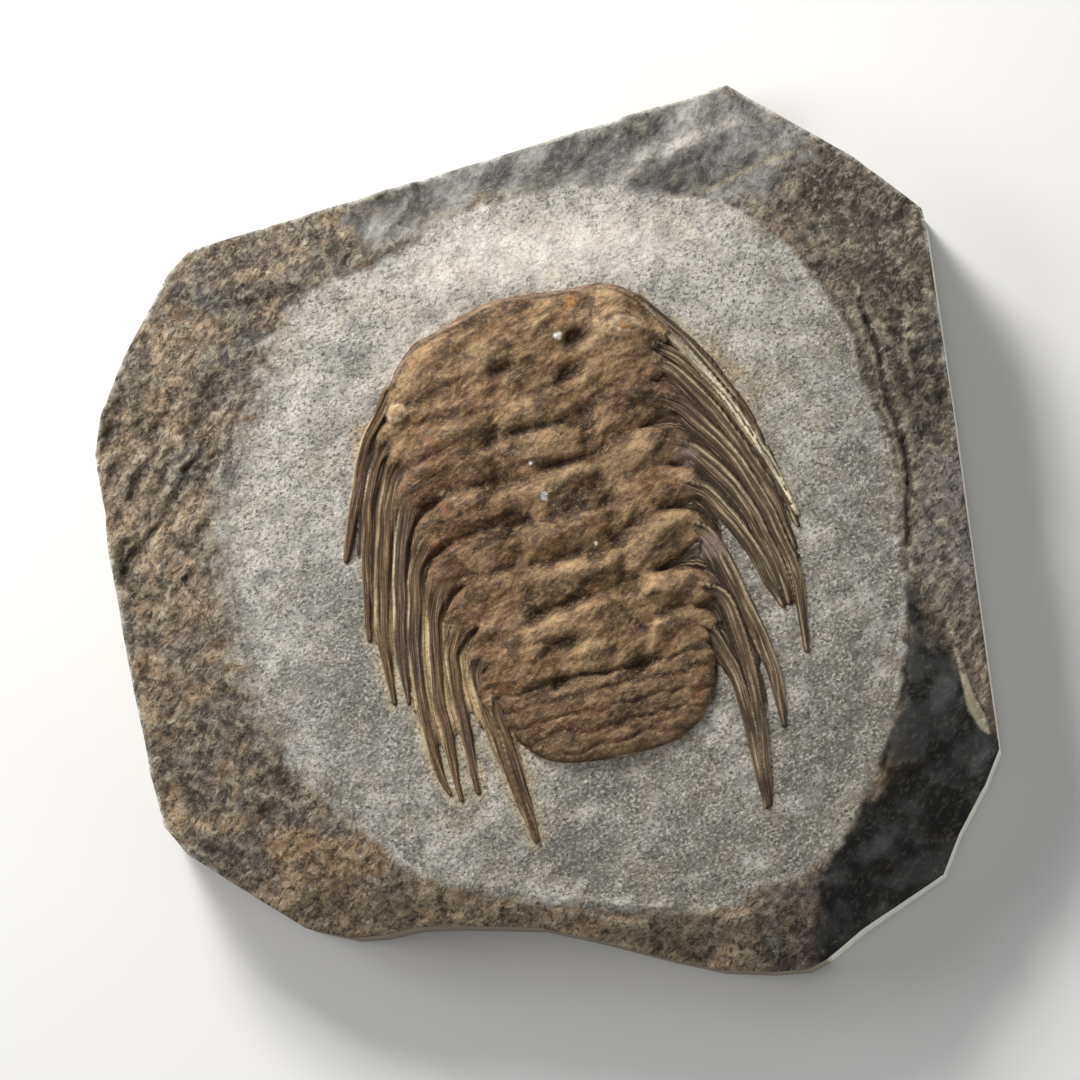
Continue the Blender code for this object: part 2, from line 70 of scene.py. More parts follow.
# The block's outline, clockwise from its upper left corner. Long gaps between points are sawn straight.
SLAB_OUTLINE = [
    (-71.4, 55.7), (31, 86.7), (36.4, 88.5), (41, 85.7), (61.2, 74.1), (75.2, 63.3), (76, 60.1),
    (81.2, 24.1), (90.2, -44.3), (87.4, -51.3), (82.2, -60.9), (79, -69.1), (63, -80.1),
    (56, -85.9), (52.2, -87.9), (45, -88.5), (34.8, -88.1), (24.6, -85.9), (10.8, -82.3),
    (-1, -79.7), (-17.6, -79.3), (-25.4, -79.5), (-33, -81.1), (-38.8, -81.5), (-47.8, -79.5),
    (-62.4, -70.5), (-71.4, -64.7), (-76.2, -59.1), (-78.8, -48.7), (-80, -41.1), (-83.4, -25.1),
    (-87.4, -3.9), (-88, 3.7), (-90.2, 15.3), (-89, 22.9), (-83, 36.9), (-75.8, 51.1),
]

# The border of the pale area that was worked over round the fossil, clockwise from its upper left.
ZONE_OUTLINE = [
    (-50.2, 42.5), (-41.4, 48.7), (-27.6, 55.3), (-20.6, 60.9), (-10, 64.5), (0.2, 67.1), (10.6, 67.9),
    (20.8, 66.1), (31, 64.9), (38.6, 63.3), (49, 54.9), (54, 48.5), (61, 38.3), (63, 29.3),
    (69.2, 13.9), (71, -6.5), (72, -15.5), (70.6, -33.5), (65.6, -48.7), (59.8, -62.3),
    (50.2, -69.9), (41.2, -72.5), (38.6, -75.7), (22, -76.9), (3.4, -75.3), (-13.8, -72.7),
    (-24.8, -69.3), (-38.6, -57.5), (-49, -47.9), (-58.6, -32.1), (-63.4, -8.5), (-64, 5.3),
    (-57.2, 25.9),
]

# The rim broke along these planes: the direction that each faces in degrees, how far from the middle it
# leaves the worked-over level, and how much it falls for each millimetre outwards.
RIM_PLANES = [
    (-30, 80, 0.50), (-62, 86, 0.58), (-97, 73, 0.85), (-135, 69, 0.31), (180, 63, 0.26),
    (145, 66, 0.25), (106.8, 62, 0.52), (58, 74, 0.29), (8, 70, 0.34),
]

# A band along the right edge stayed above the break beside it and falls by its own slope from x = BAND_START.
BAND_EDGE = [(73, -8), (80.5, -23), (90, -43.5)]
OUTER_BAND = BAND_EDGE + [(110, -50), (110, 20), (74, 14)]
BAND_START = 71.0
BAND_SLOPE = 0.27
BAND_FADE = 2.5

# The fossil, with the values that its solid has. Heights are above the worked-over surface.
TIP_HALF_WIDTH = 0.45
TIP_HEIGHT = 0.9
SPINE_HEIGHT = 1.9
SPINE_TAPER = 0.45
BODY_HALF_WIDTHS = [4, 5.3, 5.4, 5.6, 5.4, 5.3, 4.0]
BODY_HEIGHTS = [3.2, 4.7, 3.9, 6.4, 3.9, 4.7, 3.2]

# Each segment: its left spine from the tip, its body (rib end, rib, furrow, axial ring, furrow, rib and rib
# end), its right spine up to the tip, and the half widths of both spines.
SEGMENTS = [
    (
        [(-34.2, -22.7), (-34.8, -10.7), (-34.8, -0.7), (-34, 7.3), (-32, 13.8)],
        [(-28, 18.4), (-17, 21.3), (-10, 23.7), (-2, 26.5), (6, 30.5), (13, 34), (19.5, 35.6)],
        [(24, 34.9), (29, 31.6), (33.4, 27.3), (38, 21.9), (42.4, 15.9), (46.6, 9.3), (50.8, -0.3)],
        (1.2, 1.3),
    ),
    (
        [(-29.4, -35.3), (-31.2, -24.7), (-31.8, -14.7), (-31.4, -2.7), (-30.8, 4.3), (-29.4, 9.8)],
        [(-26, 13.6), (-18, 16), (-9.6, 18.3), (-1, 20.7), (7.4, 25.3), (13.4, 28.7), (20, 31.3)],
        [(24.6, 31.2), (29, 28), (33, 23.7), (37.6, 18.1), (42, 12.1), (46, 5.3), (50.4, -4.7)],
        (1.9, 1.5),
    ),
    (
        [(-26.4, -35.3), (-27.9, -24.7), (-28.3, -12.7), (-27.9, -2.7)],
        [(-25, 6.6), (-17, 10.6), (-9, 12.5), (0, 14.4), (9.4, 18.1), (16, 22.3), (22, 24.4)],
        [(27, 23.5), (31, 20.3), (38, 13.3), (43.2, 5.3), (47.2, -2.7), (50.4, -10.7), (52.6, -25.1)],
        (1.7, 1.7),
    ),
    (
        [(-18.2, -53.3), (-21, -47.1), (-23.4, -37.1), (-25, -26.7), (-25.3, -14.7), (-24.6, -7.2)],
        [(-21.2, -1.4), (-14, 1.8), (-6.4, 3.7), (2, 5.7), (11.6, 8.9), (18, 13), (25, 15.4)],
        [(29.6, 14.7), (35.8, 9.5), (39.4, 5.3), (44, -2.7), (47.6, -10.7), (49.2, -15.7)],
        (1.6, 1.8),
    ),
    (
        [(-15.8, -54.7), (-18.4, -43.7), (-20.4, -34.7), (-21.2, -24.7), (-21.2, -17)],
        [(-18.2, -9.6), (-11.5, -6.6), (-4.2, -5.1), (5, -2.7), (13.8, 0.5), (20, 4.9), (26.6, 7.7)],
        [(31, 6.8), (34.2, 4.5), (40.6, -3.3), (45, -10.7), (47.8, -16.1)],
        (1.5, 1.8),
    ),
    (
        [(-12.6, -53.1), (-15.4, -39.7), (-17.2, -30.7), (-17.8, -24.6)],
        [(-15, -17.8), (-9.5, -15.3), (-2, -13.7), (7, -11.3), (16.2, -7.9), (22, -4.1), (28, -0.9)],
        [(32.4, -1.8), (37, -9.1), (41.4, -18.3), (45.6, -28.3), (47, -33.7), (48, -40.1)],
        (1.5, 1.7),
    ),
    (
        [(-1, -62.7), (-6.2, -49.7), (-10.6, -37.7), (-13, -29.4)],
        [(-10.6, -24.8), (-6, -22.9), (1, -21.5), (10, -19.7), (18.6, -16.3), (23.6, -14.7), (30, -12.7)],
        [(34.2, -13.4), (37, -16.3), (40.4, -25.9), (42.6, -35.7), (44.4, -48.7), (45.2, -55.7)],
        (1.6, 1.4),
    ),
    (
        [(-0.8, -62.3), (-5, -48.3), (-8.8, -37.4)],
        [(-8.6, -32.6), (-3, -30.1), (3.4, -28.3), (12, -26.7), (20.4, -24.3), (25.4, -22.7), (30.6, -20.5)],
        [(34.2, -22.3), (38.2, -29.9), (41, -39.1), (43.4, -49.7), (44.6, -56.3)],
        (1.4, 1.4),
    ),
]

# Spines that grow from the corners of the head, each from its root to its tip, with its half width.
CHEEK_SPINES = [
    ([(-30.6, 26.5), (-32.6, 21.7), (-35.2, 16), (-36.3, 10.3), (-37.3, 3.3), (-38.4, -3.7),
      (-39, -7.1)], 1.25),
    ([(20.5, 42.8), (24.6, 38.6), (33, 29.5), (41, 19.1), (47, 9.5), (50.6, 2.3)], 1),
    ([(19, 45), (24, 40.9), (29, 36.5), (35, 29.9), (40, 23.5), (44, 16.3)], 0.8),
]

# The head's outline, clockwise from its left cheek, and then back along its rear margin.
HEAD_OUTLINE = [
    (-31.4, 24.6), (-29.4, 30.3), (-25.6, 36.1), (-21, 38.5), (-14, 42.3), (-9, 44.7), (1, 46.3),
    (12, 47.9), (18, 46.1), (22, 42.7), (26, 38.4), (21, 33.5), (8, 29), (-4, 23),
    (-16, 19), (-27, 18), (-31, 20),
]
HEAD_BORDER_HEIGHT = 1.5
HEAD_DOME_HEIGHT = 2.3
HEAD_DOME_WIDTH = 4.0
HEAD_EDGE_FADE = 2.0
# Each lump of the head: middle, half length, half width, turn in degrees and height.
HEAD_LUMPS = [
    ((-3, 34), 9, 6.5, 75, 2.2),
    ((-6, 40.5), 6, 2.6, 12, 0.7),
    ((-19, 30), 7.5, 5, 35, 1.2),
    ((-13, 24.5), 5, 2.6, 15, 0.8),
    ((14, 37), 5.5, 4.5, 20, 1),
    ((6.5, 44.2), 2.8, 1.8, 60, 0.9),
]
HEAD_FURROW = [(9.2, 45.6), (7.6, 41.3), (6.8, 36.7), (3.6, 33.6), (-2, 31.6), (-9, 30.4)]
HEAD_FURROW_DEPTH = 1.5
HEAD_FURROW_WIDTH = 1.5
# A crack across the left cheek, thin streaks of relief along the head's border and hollows beside the eyes.
HEAD_CRACK = [(-14.6, 25.8), (-16.4, 22.8), (-10.5, 23.4)]
HEAD_CRACK_DEPTH = 0.5
HEAD_CRACK_WIDTH = 0.4
HEAD_PITS = [
    ((6.9, 37), 2.6, 1.9, 70, 1.6), ((-25.6, 24), 1.3, 0.9, 30, 1.3), ((22, 37.6), 2.6, 1.3, -25, 1.2),
]
HEAD_STREAK_PITCH = 1.7
HEAD_STREAK_HEIGHT = 0.16
HEAD_STREAK_FADE = 3.5
# Each eye: middle, half length, half width and turn in degrees.
EYES = [((-28.8, 22.3), 1.9, 1.7, 30), ((16.6, 39.7), 2.6, 1.5, -8)]
EYE_BASE = 3.2
EYE_RISE = 1.2
EYE_BLOCK_HEIGHT = 0.7
EYE_BLOCK = ((15.6, 40), 5, 2.7, -6)

# The tail's outline, clockwise from its left front corner.
TAIL_OUTLINE = [
    (-9, -33.5), (-3, -28.5), (12, -25), (27, -21.5), (33.6, -24), (34.6, -28.7), (33.6, -34),
    (31, -39.1), (25.4, -43.1), (16, -45.7), (5, -47.3), (-2, -45.1), (-7, -40.3), (-9, -36),
]
TAIL_BORDER_HEIGHT = 1.3
TAIL_DOME_HEIGHT = 2.7
TAIL_DOME_WIDTH = 5.5
TAIL_EDGE_FADE = 4.0
TAIL_AXIS = [(12, -27), (14, -41)]
TAIL_AXIS_HEIGHT = 1.1
TAIL_AXIS_HALF_WIDTH = 6.5
TAIL_RIB_PITCH = 3.5
TAIL_RIB_HEIGHT = 0.27
TAIL_RIB_TURN = 13

# From here on, what only the fine surface has. Fineness of the meshes:
SHELL_SPACING = 0.292
STATION_SPACING = 1.0
RIM_SPACING = 0.43
ZONE_SPACING = 0.95
BESIDE_SPACING = 0.5
HIDDEN_SPACING = 3.0
EDGE_SPACING = 0.5
SIDE_ROWS = 7
ZONE_STEP = 0.8
GRID_SEED = 600
GRID_SHAKE = 0.22
# The rim's mesh reaches this far into the zone, the finer one round the fossil this far from it, and the rock
# is hidden from this depth inside the fossil's outline.
RIM_REACH = 1.5
BESIDE_REACH = 4
HIDDEN_DEPTH = 0.6
# How many times heights are spread over a mesh: to fill furrows and soften the shell, to find its narrow and
# wide hollows, for the rim and its slate, and to find the rock's hollows.
FILL_ROUNDS = 130
SOFTEN_ROUNDS = 5
HOLLOW_ROUNDS = (30, 220)
RIM_ROUNDS = 90
SLATE_ROUNDS = 8
ROCK_HOLLOW_ROUNDS = 14
# The fossil's surface is made in this box, cut where it falls below SHELL_CUT and closed SHELL_SUNK below
# the worked-over surface. Forms fall away outside their outlines, and the rock sinks under the fossil.
SHELL_BOX = [(-43, -66), (57, 52)]
SHELL_CUT = -0.5
SHELL_SUNK = 1.2
FALL_OUTSIDE = 1.5
STRIP_REACH = 2.5
UNDER_FOSSIL_DEPTH = 1.2
# Numbers of the head and the tail, after those of the strips, and of the cheek spine with a cream ridge.
HEAD = 20
TAIL = 21
CREAM_SPINE = 9
CREAM_SPINE_RISE = 0.5
FIBRE_HEIGHT = 0.16

# Across a segment from its rear edge (-1) to its front edge (1), the share of its height on the body, and on
# the spines, which have a deep groove between two strands.
BODY_PROFILE = [
    (-1, 0), (-0.9, 0.22), (-0.7, 0.46), (-0.35, 0.70), (0, 0.86), (0.3, 0.97), (0.58, 1), (0.78, 0.84),
    (0.92, 0.48), (1, 0),
]
SPINE_PROFILE = [
    (-1, 0), (-0.9, 0.55), (-0.7, 0.85), (-0.45, 0.62), (-0.2, 0.76), (0.05, 0.52), (0.3, 0.74), (0.52, 0.66),
    (0.78, 1), (0.9, 0.8), (1, 0),
]
# Narrow gaps between spines are filled with rock and shell up to this height above the worked-over surface.
WEB_GAP = 3.0
WEB_ROOT_GAP = 5.5
WEB_HEIGHT = 0.8
WEB_TIP_FADE = 22.0
# Rock that stays open between two groups of right spines, and a filled hole between a rib and its spine.
OPEN_ROCK = ((40, -7.5), 10, 2.6, -64)
FILLED_HOLE = ((31, -4.2), 3.4, 2.4, -40)

# Share of the furrows that is filled, and small white specks: middle and radius.
VALLEY_FILL = 0.55
WHITE_SPECKS = [((0.8, 5.3), 0.6), ((3.4, 37.3), 0.6), ((-2, 12), 0.3), ((11, -4), 0.25)]

# Pits of the furrow on each side of the axis, from the head to the tail.
RIGHT_PITS = [
    (6.6, 36.9), (5.4, 30.1), (8.2, 21.7), (10.6, 13.3), (12.6, 3.9), (15, -4.3), (17.4, -13.1),
    (19.6, -21.3), (21, -28.3),
]
LEFT_PITS = [
    (-10.2, 16.3), (-8, 7.3), (-4.8, -1.1), (-3.6, -9.7), (-0.4, -18.3), (2.4, -25.1), (4.4, -31.3),
]
PIT_DEPTH = 2.5
PIT_LENGTH = 3.2
PIT_WIDTH = 1.7
PIT_TURN = 38


def tone(red, green, blue):
    """A linear colour from its usual values of 0 to 255."""
    values = np.array((red, green, blue)) / 255
    return np.where(values <= 0.04045, values / 12.92, ((values + 0.055) / 1.055) ** 2.4)


# Rock colours.
ZONE_PALE = tone(205, 200, 190)
ZONE_GREY = tone(150, 145, 130)
ZONE_DARK = tone(104, 102, 94)
ZONE_STAIN = tone(186, 160, 118)
ZONE_WHITE = tone(232, 226, 216)
RIM_BROWN = tone(144, 124, 103)
RIM_GOLD = tone(188, 160, 124)
RIM_GREY = tone(118, 112, 102)
RIM_DARK = tone(68, 61, 52)
SLATE = tone(112, 112, 112)
SLATE_DARK = tone(84, 84, 83)
SLATE_PALE = tone(158, 157, 154)
# Near black: the dark facet's dark grey stone with its painted shade.
DARK_ROCK_AND_SHADE = tone(22, 21, 19)
RIM_CREAM = tone(208, 182, 148)
RUST = tone(160, 122, 76)
BLUE_GREY = tone(88, 90, 90)
CREAM_ROCK = tone(196, 186, 160)
# Near white: the sawn side's own pale colour brightened as painted light, and the painted highlight of the
# top edge.
SAWN_SIDE_AND_HIGHLIGHT = tone(240, 238, 226)
GREY_MAUVE = tone(120, 108, 101)
OLIVE_BROWN = tone(86, 74, 48)
STAIN_CREAM = tone(204, 186, 148)

# Shell colours.
SHELL_OCHRE = tone(152, 120, 80)
SHELL_TAN = tone(188, 160, 120)
SHELL_BLOCK = tone(206, 172, 130)
SHELL_DARK = tone(52, 38, 26)
SHELL_MAUVE = tone(108, 88, 78)
SHELL_CREAM = tone(226, 208, 170)
SHELL_OLIVE = tone(112, 98, 64)
SHELL_RED = tone(122, 82, 54)
SHELL_LILAC = tone(152, 132, 122)
SHELL_ORANGE = tone(178, 118, 58)
SHELL_PURPLE = tone(88, 64, 52)
SPINE_BROWN = tone(124, 95, 66)
SPINE_TAN = tone(154, 126, 86)
SPINE_DARK = tone(68, 53, 44)
WEB_CREAM = tone(208, 182, 134)
CREAM_RIDGE = tone(244, 232, 200)
SPECK_WHITE = tone(238, 236, 230)


# Patches of other colours on the shell: middle, half length, half width, turn and colour. The dark ones on
# the head's pits and furrow and on a pit beside the axis are painted shade in those hollows.
SHELL_PATCHES = [
    ((-12, 40.6), 3.6, 1.3, 15, SHELL_DARK), ((-4.5, 43), 2.4, 1, 12, SHELL_DARK),
    ((6.6, 36.6), 2.6, 1.9, 70, SHELL_DARK), ((9.4, 41.5), 3, 0.9, 75, SHELL_DARK),
    ((5.6, 44.2), 1.9, 1.1, 60, SHELL_ORANGE), ((16.8, 39), 1.2, 0.5, -10, SHELL_ORANGE),
    ((21.6, 37.4), 2.8, 1.1, -25, SHELL_DARK), ((-25.8, 23.9), 1.3, 0.8, 20, SHELL_DARK),
    ((20.8, 29.7), 2, 0.5, -8, SHELL_RED), ((28.5, 13.6), 2.6, 1.8, -10, SHELL_LILAC),
    ((34, -4.4), 3, 2.2, 0, SHELL_LILAC), ((2.2, 14.4), 1.6, 0.7, 20, SHELL_TAN),
    ((9.5, 8.2), 4, 2, 15, SHELL_DARK), ((-9.5, -3), 3.4, 1.8, 30, SHELL_DARK),
    ((10.8, -6.4), 2.2, 1, 20, SHELL_DARK), ((-0.5, -18.2), 2.4, 1.1, 10, SHELL_DARK),
    ((18, 25.5), 7, 2.4, 20, SHELL_PURPLE), ((24, 18), 4, 2.6, -30, SHELL_PURPLE),
    ((29, 24), 5, 3, -45, SHELL_PURPLE), ((-19, -3), 4, 1.6, 35, SHELL_RED),
    ((18.5, -1), 4.5, 1.4, 35, SHELL_PURPLE), ((7, 3), 3, 1.6, 60, SHELL_DARK),
]

# A crack between the zone and the rim on the right.
CRACK_LINE = [
    (63, 44.1), (65, 38.7), (66.8, 34.9), (67.2, 31.1), (68.2, 26.9), (69.6, 21.5), (71.8, 15.7),
    (72.6, 7.5), (72.5, -4),
]
CRACK_DEPTH = 0.9
CRACK_WIDTH = 0.7
# Plates of the rim that stand above what lies beside them, or below it: outline and height of the step.
PLATES = [
    ([(-61.5, 27.7), (-66.2, 23.5), (-67.4, 22.2), (-67, 17.2), (-65.7, 10.9), (-64.9, 6.7), (-57, 8),
      (-52, 28)], 1),
    ([(-73.4, 48.6), (-69.4, 44.6), (-64, 44.8), (-56, 45.5), (-50, 46.5), (-43, 53), (-40, 63),
      (-72, 57)], 0.55),
    ([(-62, -40), (-52, -39), (-46, -49), (-49, -56), (-57, -53), (-63, -46)], -0.9),
    ([(-86, -6), (-80, -2), (-75, -12), (-76, -26), (-84, -26)], -0.8),
    ([(31.6, 66.3), (50, 74.9), (44, 82), (37, 87), (26, 84)], 0.5),
    ([(76, 24), (70, 34), (72, 46), (80, 44), (82, 26)], 0.8),
]
PLATE_EDGE = 1.8
PLATE_FADE = 14.0
# A row of marks left by the tool that cleared the zone: its x, its lower and upper end in y, pitch and depth.
TOOL_ROW = (69.6, -37.6, -16.2)
TOOL_PITCH = 0.85
TOOL_DEPTH = 0.16
# Regions of grey slate and of the dark facet, whose planes have this size.
DARK_FACET_SIZE = 12.5
SLATE_REGION = [
    (-43, 62.3), (3, 84), (36.4, 90), (54, 78), (46, 66), (19, 64), (-9, 66),
    (-25, 58.3), (-33, 55.3),
]
BLACK_REGION = [
    (72, -6.7), (76, -22.7), (81, -24.7), (92, -44), (91, -54), (85, -66), (76, -80),
    (62, -92), (54, -88), (54, -72), (60, -60), (65, -54.7), (71, -34.7), (72, -18),
]
# A pale line in the zone, painted highlight along its left border, and oval patches of the zone and the rim:
# middle, half length, half width and turn.
ZONE_LINE = [(-54.6, 37.3), (-54.9, 22), (-54.4, 5.3)]
PALE_PATCHES = [
    ((3, 56), 36, 9, 6), ((-46, 20), 22, 9, 80), ((30, 50), 18, 8, -38),
    ((-34, 36), 13, 8, 50),
]
DULL_PATCHES = [
    ((-34, -24), 20, 7, 92), ((-38, -38), 20, 13, -50), ((-44, -14), 9, 12, 80),
    ((52, -44), 22, 12, 70), ((16, -62), 26, 8, 6),
    ((62, 8), 20, 7, 95), ((-24, 41), 4.5, 1.7, 55), ((-36.6, 33.3), 5, 3, 20),
    ((-32, -36.7), 2.6, 2.2, 0), ((4, -63.3), 4, 2, 10), ((12, -52.7), 5, 3, 0),
]
RUST_PATCHES = [
    ((-79.4, -28.3), 4.4, 4, 0), ((-45, -66), 9, 6, -30), ((-60, 22), 6, 3, 60),
    ((-72, 44), 4, 2, 0), ((-34, -66), 6, 4, 0),
]
BLUE_PATCHES = [
    ((-85, -18.7), 6, 3, -60), ((-69, 45.3), 7, 3.5, -20), ((-72, 12), 8, 4, 70),
    ((-60, 36), 6, 3, 30), ((-30, 69), 7, 3, 20),
]
# Dark brown and gold patches of the rim.
BROWN_PATCHES = [
    ((-40, 54.6), 9, 2.2, 8), ((-50, 45), 6, 2.6, 30), ((-66, 29), 5, 3.6, 20),
    ((-68.4, 19), 1.4, 6, 0), ((-88, 20.5), 1.4, 4, 0), ((-54, -46.5), 7, 6, -45),
    ((-66, -63), 7, 4, -35), ((-82, -12), 3, 6, 10), ((-73, -2), 2.2, 4, 60),
    ((66, 50), 9, 4, -60), ((56, 66), 8, 4, -40), ((75, 2), 2, 8, 0),
]
GOLD_PATCHES = [
    ((-73.8, 18.6), 2, 3.2, 10), ((-77, 36), 1.8, 4.5, -20), ((-72, 2.5), 8, 1.8, 58),
    ((-78, -4), 7, 2, 55), ((-83, 2), 4, 1.8, 60), ((-70, -58), 6, 2, -30),
    ((-57, 51), 8, 1.6, 12), ((-22, -77), 9, 1.8, -4), ((8, -80), 7, 1.6, 8),
    ((-79, -36), 2, 5, 10),
]
# A pale band and a cream ledge on the grey rock at the top.
SLATE_BAND = [(24.8, 74.9), (38.6, 81.3)]
SLATE_LEDGE = [(31.6, 66.3), (41, 71.2), (50, 74.9)]
# Paler facets in the dark one.
GREY_FACETS = [((79.5, -33), 4.5, 2.4, 65), ((86.3, -47), 4, 1.6, 60), ((66, -64), 6, 2, 40)]
# A sharp pale sliver between the dark facet and the outer band, a painted highlight on the step's lit edge.
CREAM_SLIVER = [
    (81, -23.6), (82.8, -30.3), (84.2, -36.7), (86.4, -40.2), (88.4, -41.6), (87.8, -38.8), (86, -35.1),
    (84.1, -30.8), (82.2, -24.9),
]
CREAM_LINE = [
    (77.8, 7.1), (79.4, 0.9), (79.4, -3.9), (78.2, -7.1), (79, -11.7), (79.8, -17.7), (81, -21.1),
]

# Single patches: one darker on the slate, an olive one on the dark facet, a mauve one on the left rim, and on
# the zone two bright ones above and beside the head, partly whiter rock and partly painted light where the
# zone's crown faces the lamp, and stains beside the fossil.
SLATE_SHADES = [((21, 70.3), 6, 2.6, 20)]
OLIVE_STAINS = [((69.5, -47.5), 5, 2.6, 65)]
MAUVE_PATCHES = [((-63.6, 14), 11, 3, 82)]
BRIGHT_PATCHES = [((0, 55), 36, 8, 8), ((-26, 36), 12, 5, 45)]
STAINS = [((33, 32), 13, 5, -38), ((-36.5, 18), 5, 2, 75)]
CREAM_STAINS = [((30, 36), 6, 2.6, -40)]
# What the sides have of the zone's look and of its grains, and how much rock and shell shine.
SIDE_PALE = 0.5
SIDE_GRAIN = 0.4
SPECULAR = 0.3

# The camera stands far off, nearly straight above the block, a little towards its lower right.
PICTURE_WIDTH = 214.6
AIM = (-0.7, -2.7, 26)
CAMERA_DISTANCE = 1900.0
LEAN_RIGHT = math.radians(4.1)
LEAN_DOWN = math.radians(4.4)
SENSOR_WIDTH = 36.0

# Lamps: name, direction in degrees (0 is +X, 90 is +Y), elevation, distance, size, power and colour.
LAMPS = [
    ("key", 122, 33, 900, 280, 10, (1, 0.98, 0.95)),
    ("side", 172, 40, 900, 500, 2.8, (1, 0.99, 0.97)),
    ("cream_and_highlight", -28, 8, 1000, 400, 2.6, (0.97, 0.99, 1)),
]
LAMP_AIM = (0, 0, 20)
WORLD_STRENGTH = 0.25
FLOOR_REACH = 6.0
FLOOR_GAP = 0.2


def smooth_points(controls, spacing, closed=False):
    """Points on a Catmull-Rom curve through the controls, about this far apart. Controls may have any
    number of values, such as x, y, half width and height."""
    controls = [np.array(point, float) for point in controls]
    count = len(controls)
    found = []
    for index in range(count if closed else count - 1):
        if closed:
            before, start, end, after = (controls[(index + step) % count] for step in (-1, 0, 1, 2))
        else:
            start, end = controls[index], controls[index + 1]
            before = controls[index - 1] if index else 2 * start - end
            after = controls[index + 2] if index + 2 < count else 2 * end - start
        steps = max(1, round(float(np.hypot(*(end - start)[:2])) / spacing))
        for step in range(steps):
            t = step / steps
            point = 2 * start + (end - before) * t
            point += (2 * before - 5 * start + 4 * end - after) * t ** 2
            point += (3 * start - before - 3 * end + after) * t ** 3
            found.append(tuple(point / 2))
    return found if closed else found + [tuple(controls[-1])]


def straight_points(corners, spacing):
    """A closed outline's corners with points between them on its straight sides."""
    found = []
    for (ax, ay), (bx, by) in zip(corners, corners[1:] + corners[:1]):
        steps = max(1, round(math.hypot(bx - ax, by - ay) / spacing))
        found += [(ax + (bx - ax) * step / steps, ay + (by - ay) * step / steps) for step in range(steps)]
    return found


def distance_to_line(x, y, line, closed=False):
    """Distance from each point (arrays x and y) to a polyline."""
    nearest = np.full(np.shape(x), np.inf)
    ends = list(zip(line, line[1:])) + ([(line[-1], line[0])] if closed else [])
    for (ax, ay), (bx, by) in ends:
        dx, dy = bx - ax, by - ay
        along = np.clip(((x - ax) * dx + (y - ay) * dy) / (dx * dx + dy * dy), 0, 1)
        nearest = np.minimum(nearest, np.hypot(x - ax - along * dx, y - ay - along * dy))
    return nearest


def crosses(x, y, start, end):
    """Whether a line towards +X from each point crosses the stretch from start to end."""
    (ax, ay), (bx, by) = start, end
    if ay == by:
        return False
    return ((ay > y) != (by > y)) & (x < (bx - ax) * (y - ay) / (by - ay) + ax)


def inside(x, y, outline):
    """Whether each point lies inside a closed outline."""
    within = np.zeros(np.shape(x), bool)
    for start, end in zip(outline, outline[1:] + outline[:1]):
        within ^= crosses(x, y, start, end)
    return within


def depth_in(x, y, outline):
    """Distance to an outline, positive inside it and negative outside."""
    distance = distance_to_line(x, y, outline, closed=True)
    return np.where(inside(x, y, outline), distance, -distance)


def ease(value):
    """A smooth step from 0 to 1 while the value goes from 0 to 1."""
    value = np.clip(value, 0, 1)
    return value * value * (3 - 2 * value)


def ramp(value, start, end):
    """A smooth step from 0 to 1 while the value goes from start to end."""
    return ease((value - start) / (end - start))


def bell(value, width):
    """1 where the value is 0, and next to nothing from twice the width on."""
    return np.exp(-(value / width) ** 2)


def turned(x, y, degrees, stretch=1.0):
    """The points' places along and across a direction. A stretch draws noise out along it."""
    cosine, sine = math.cos(math.radians(degrees)), math.sin(math.radians(degrees))
    return (x * cosine + y * sine) / stretch, y * cosine - x * sine


def ellipse_share(x, y, middle, half_length, half_width, turn):
    """Squared distance from an ellipse's middle, 1 on its edge."""
    along, across = turned(x - middle[0], y - middle[1], turn)
    return (along / half_length) ** 2 + (across / half_width) ** 2


def lattice_values(column, row, seed):
    """A repeatable value from 0 to 1 for each point of a whole-numbered lattice."""
    parts = zip((column.astype(np.int64), row.astype(np.int64), seed), LATTICE_PRIMES)
    mixed = sum(part * prime for part, prime in parts) & LATTICE_MASK
    mixed = ((mixed ^ (mixed >> 13)) * LATTICE_PRIMES[3]) & LATTICE_MASK
    return ((mixed ^ (mixed >> 16)) & 0xFFFF) / 0xFFFF


def noise(x, y, size, seed):
    """Smooth noise from about -1 to 1, whose lumps are about this many millimetres across."""
    x, y = x / size, y / size
    column, row = np.floor(x), np.floor(y)
    total = np.zeros(np.shape(x))
    for step_x in (0, 1):
        for step_y in (0, 1):
            turn = 2 * math.pi * lattice_values(column + step_x, row + step_y, seed)
            from_x, from_y = x - column - step_x, y - row - step_y
            weight = ease(1 - np.abs(from_x)) * ease(1 - np.abs(from_y))
            total += weight * (np.cos(turn) * from_x + np.sin(turn) * from_y)
    return 1.6 * total


def fractal(x, y, size, octaves, seed):
    """Noise with finer and weaker layers added, from about -1 to 1."""
    total = np.zeros(np.shape(x))
    for octave in range(octaves):
        total += noise(x, y, size / 2 ** octave, seed + octave) / 2 ** octave
    return total


def mottled(x, y, size, octaves, seed, gain=1.0, offset=0.0):
    """Shares from 0 to 1 in soft patches, from noise that is made stronger and shifted."""
    return ease(fractal(x, y, size, octaves, seed) * gain + offset)


def warped(x, y, reach, size, octaves, seed, step=10):
    """The points, moved about by noise of this reach."""
    move_x, move_y = (reach * fractal(x, y, size, octaves, number) for number in (seed, seed + step))
    return x + move_x, y + move_y


def creases(x, y, size, octaves, seed):
    """Sharp crests between rounded hollows, from about -1 to 1."""
    total = np.zeros(np.shape(x))
    for octave in range(octaves):
        total += (1 - 3 * np.abs(noise(x, y, size / 2 ** octave, seed + octave))) / 2 ** octave
    return total / 2


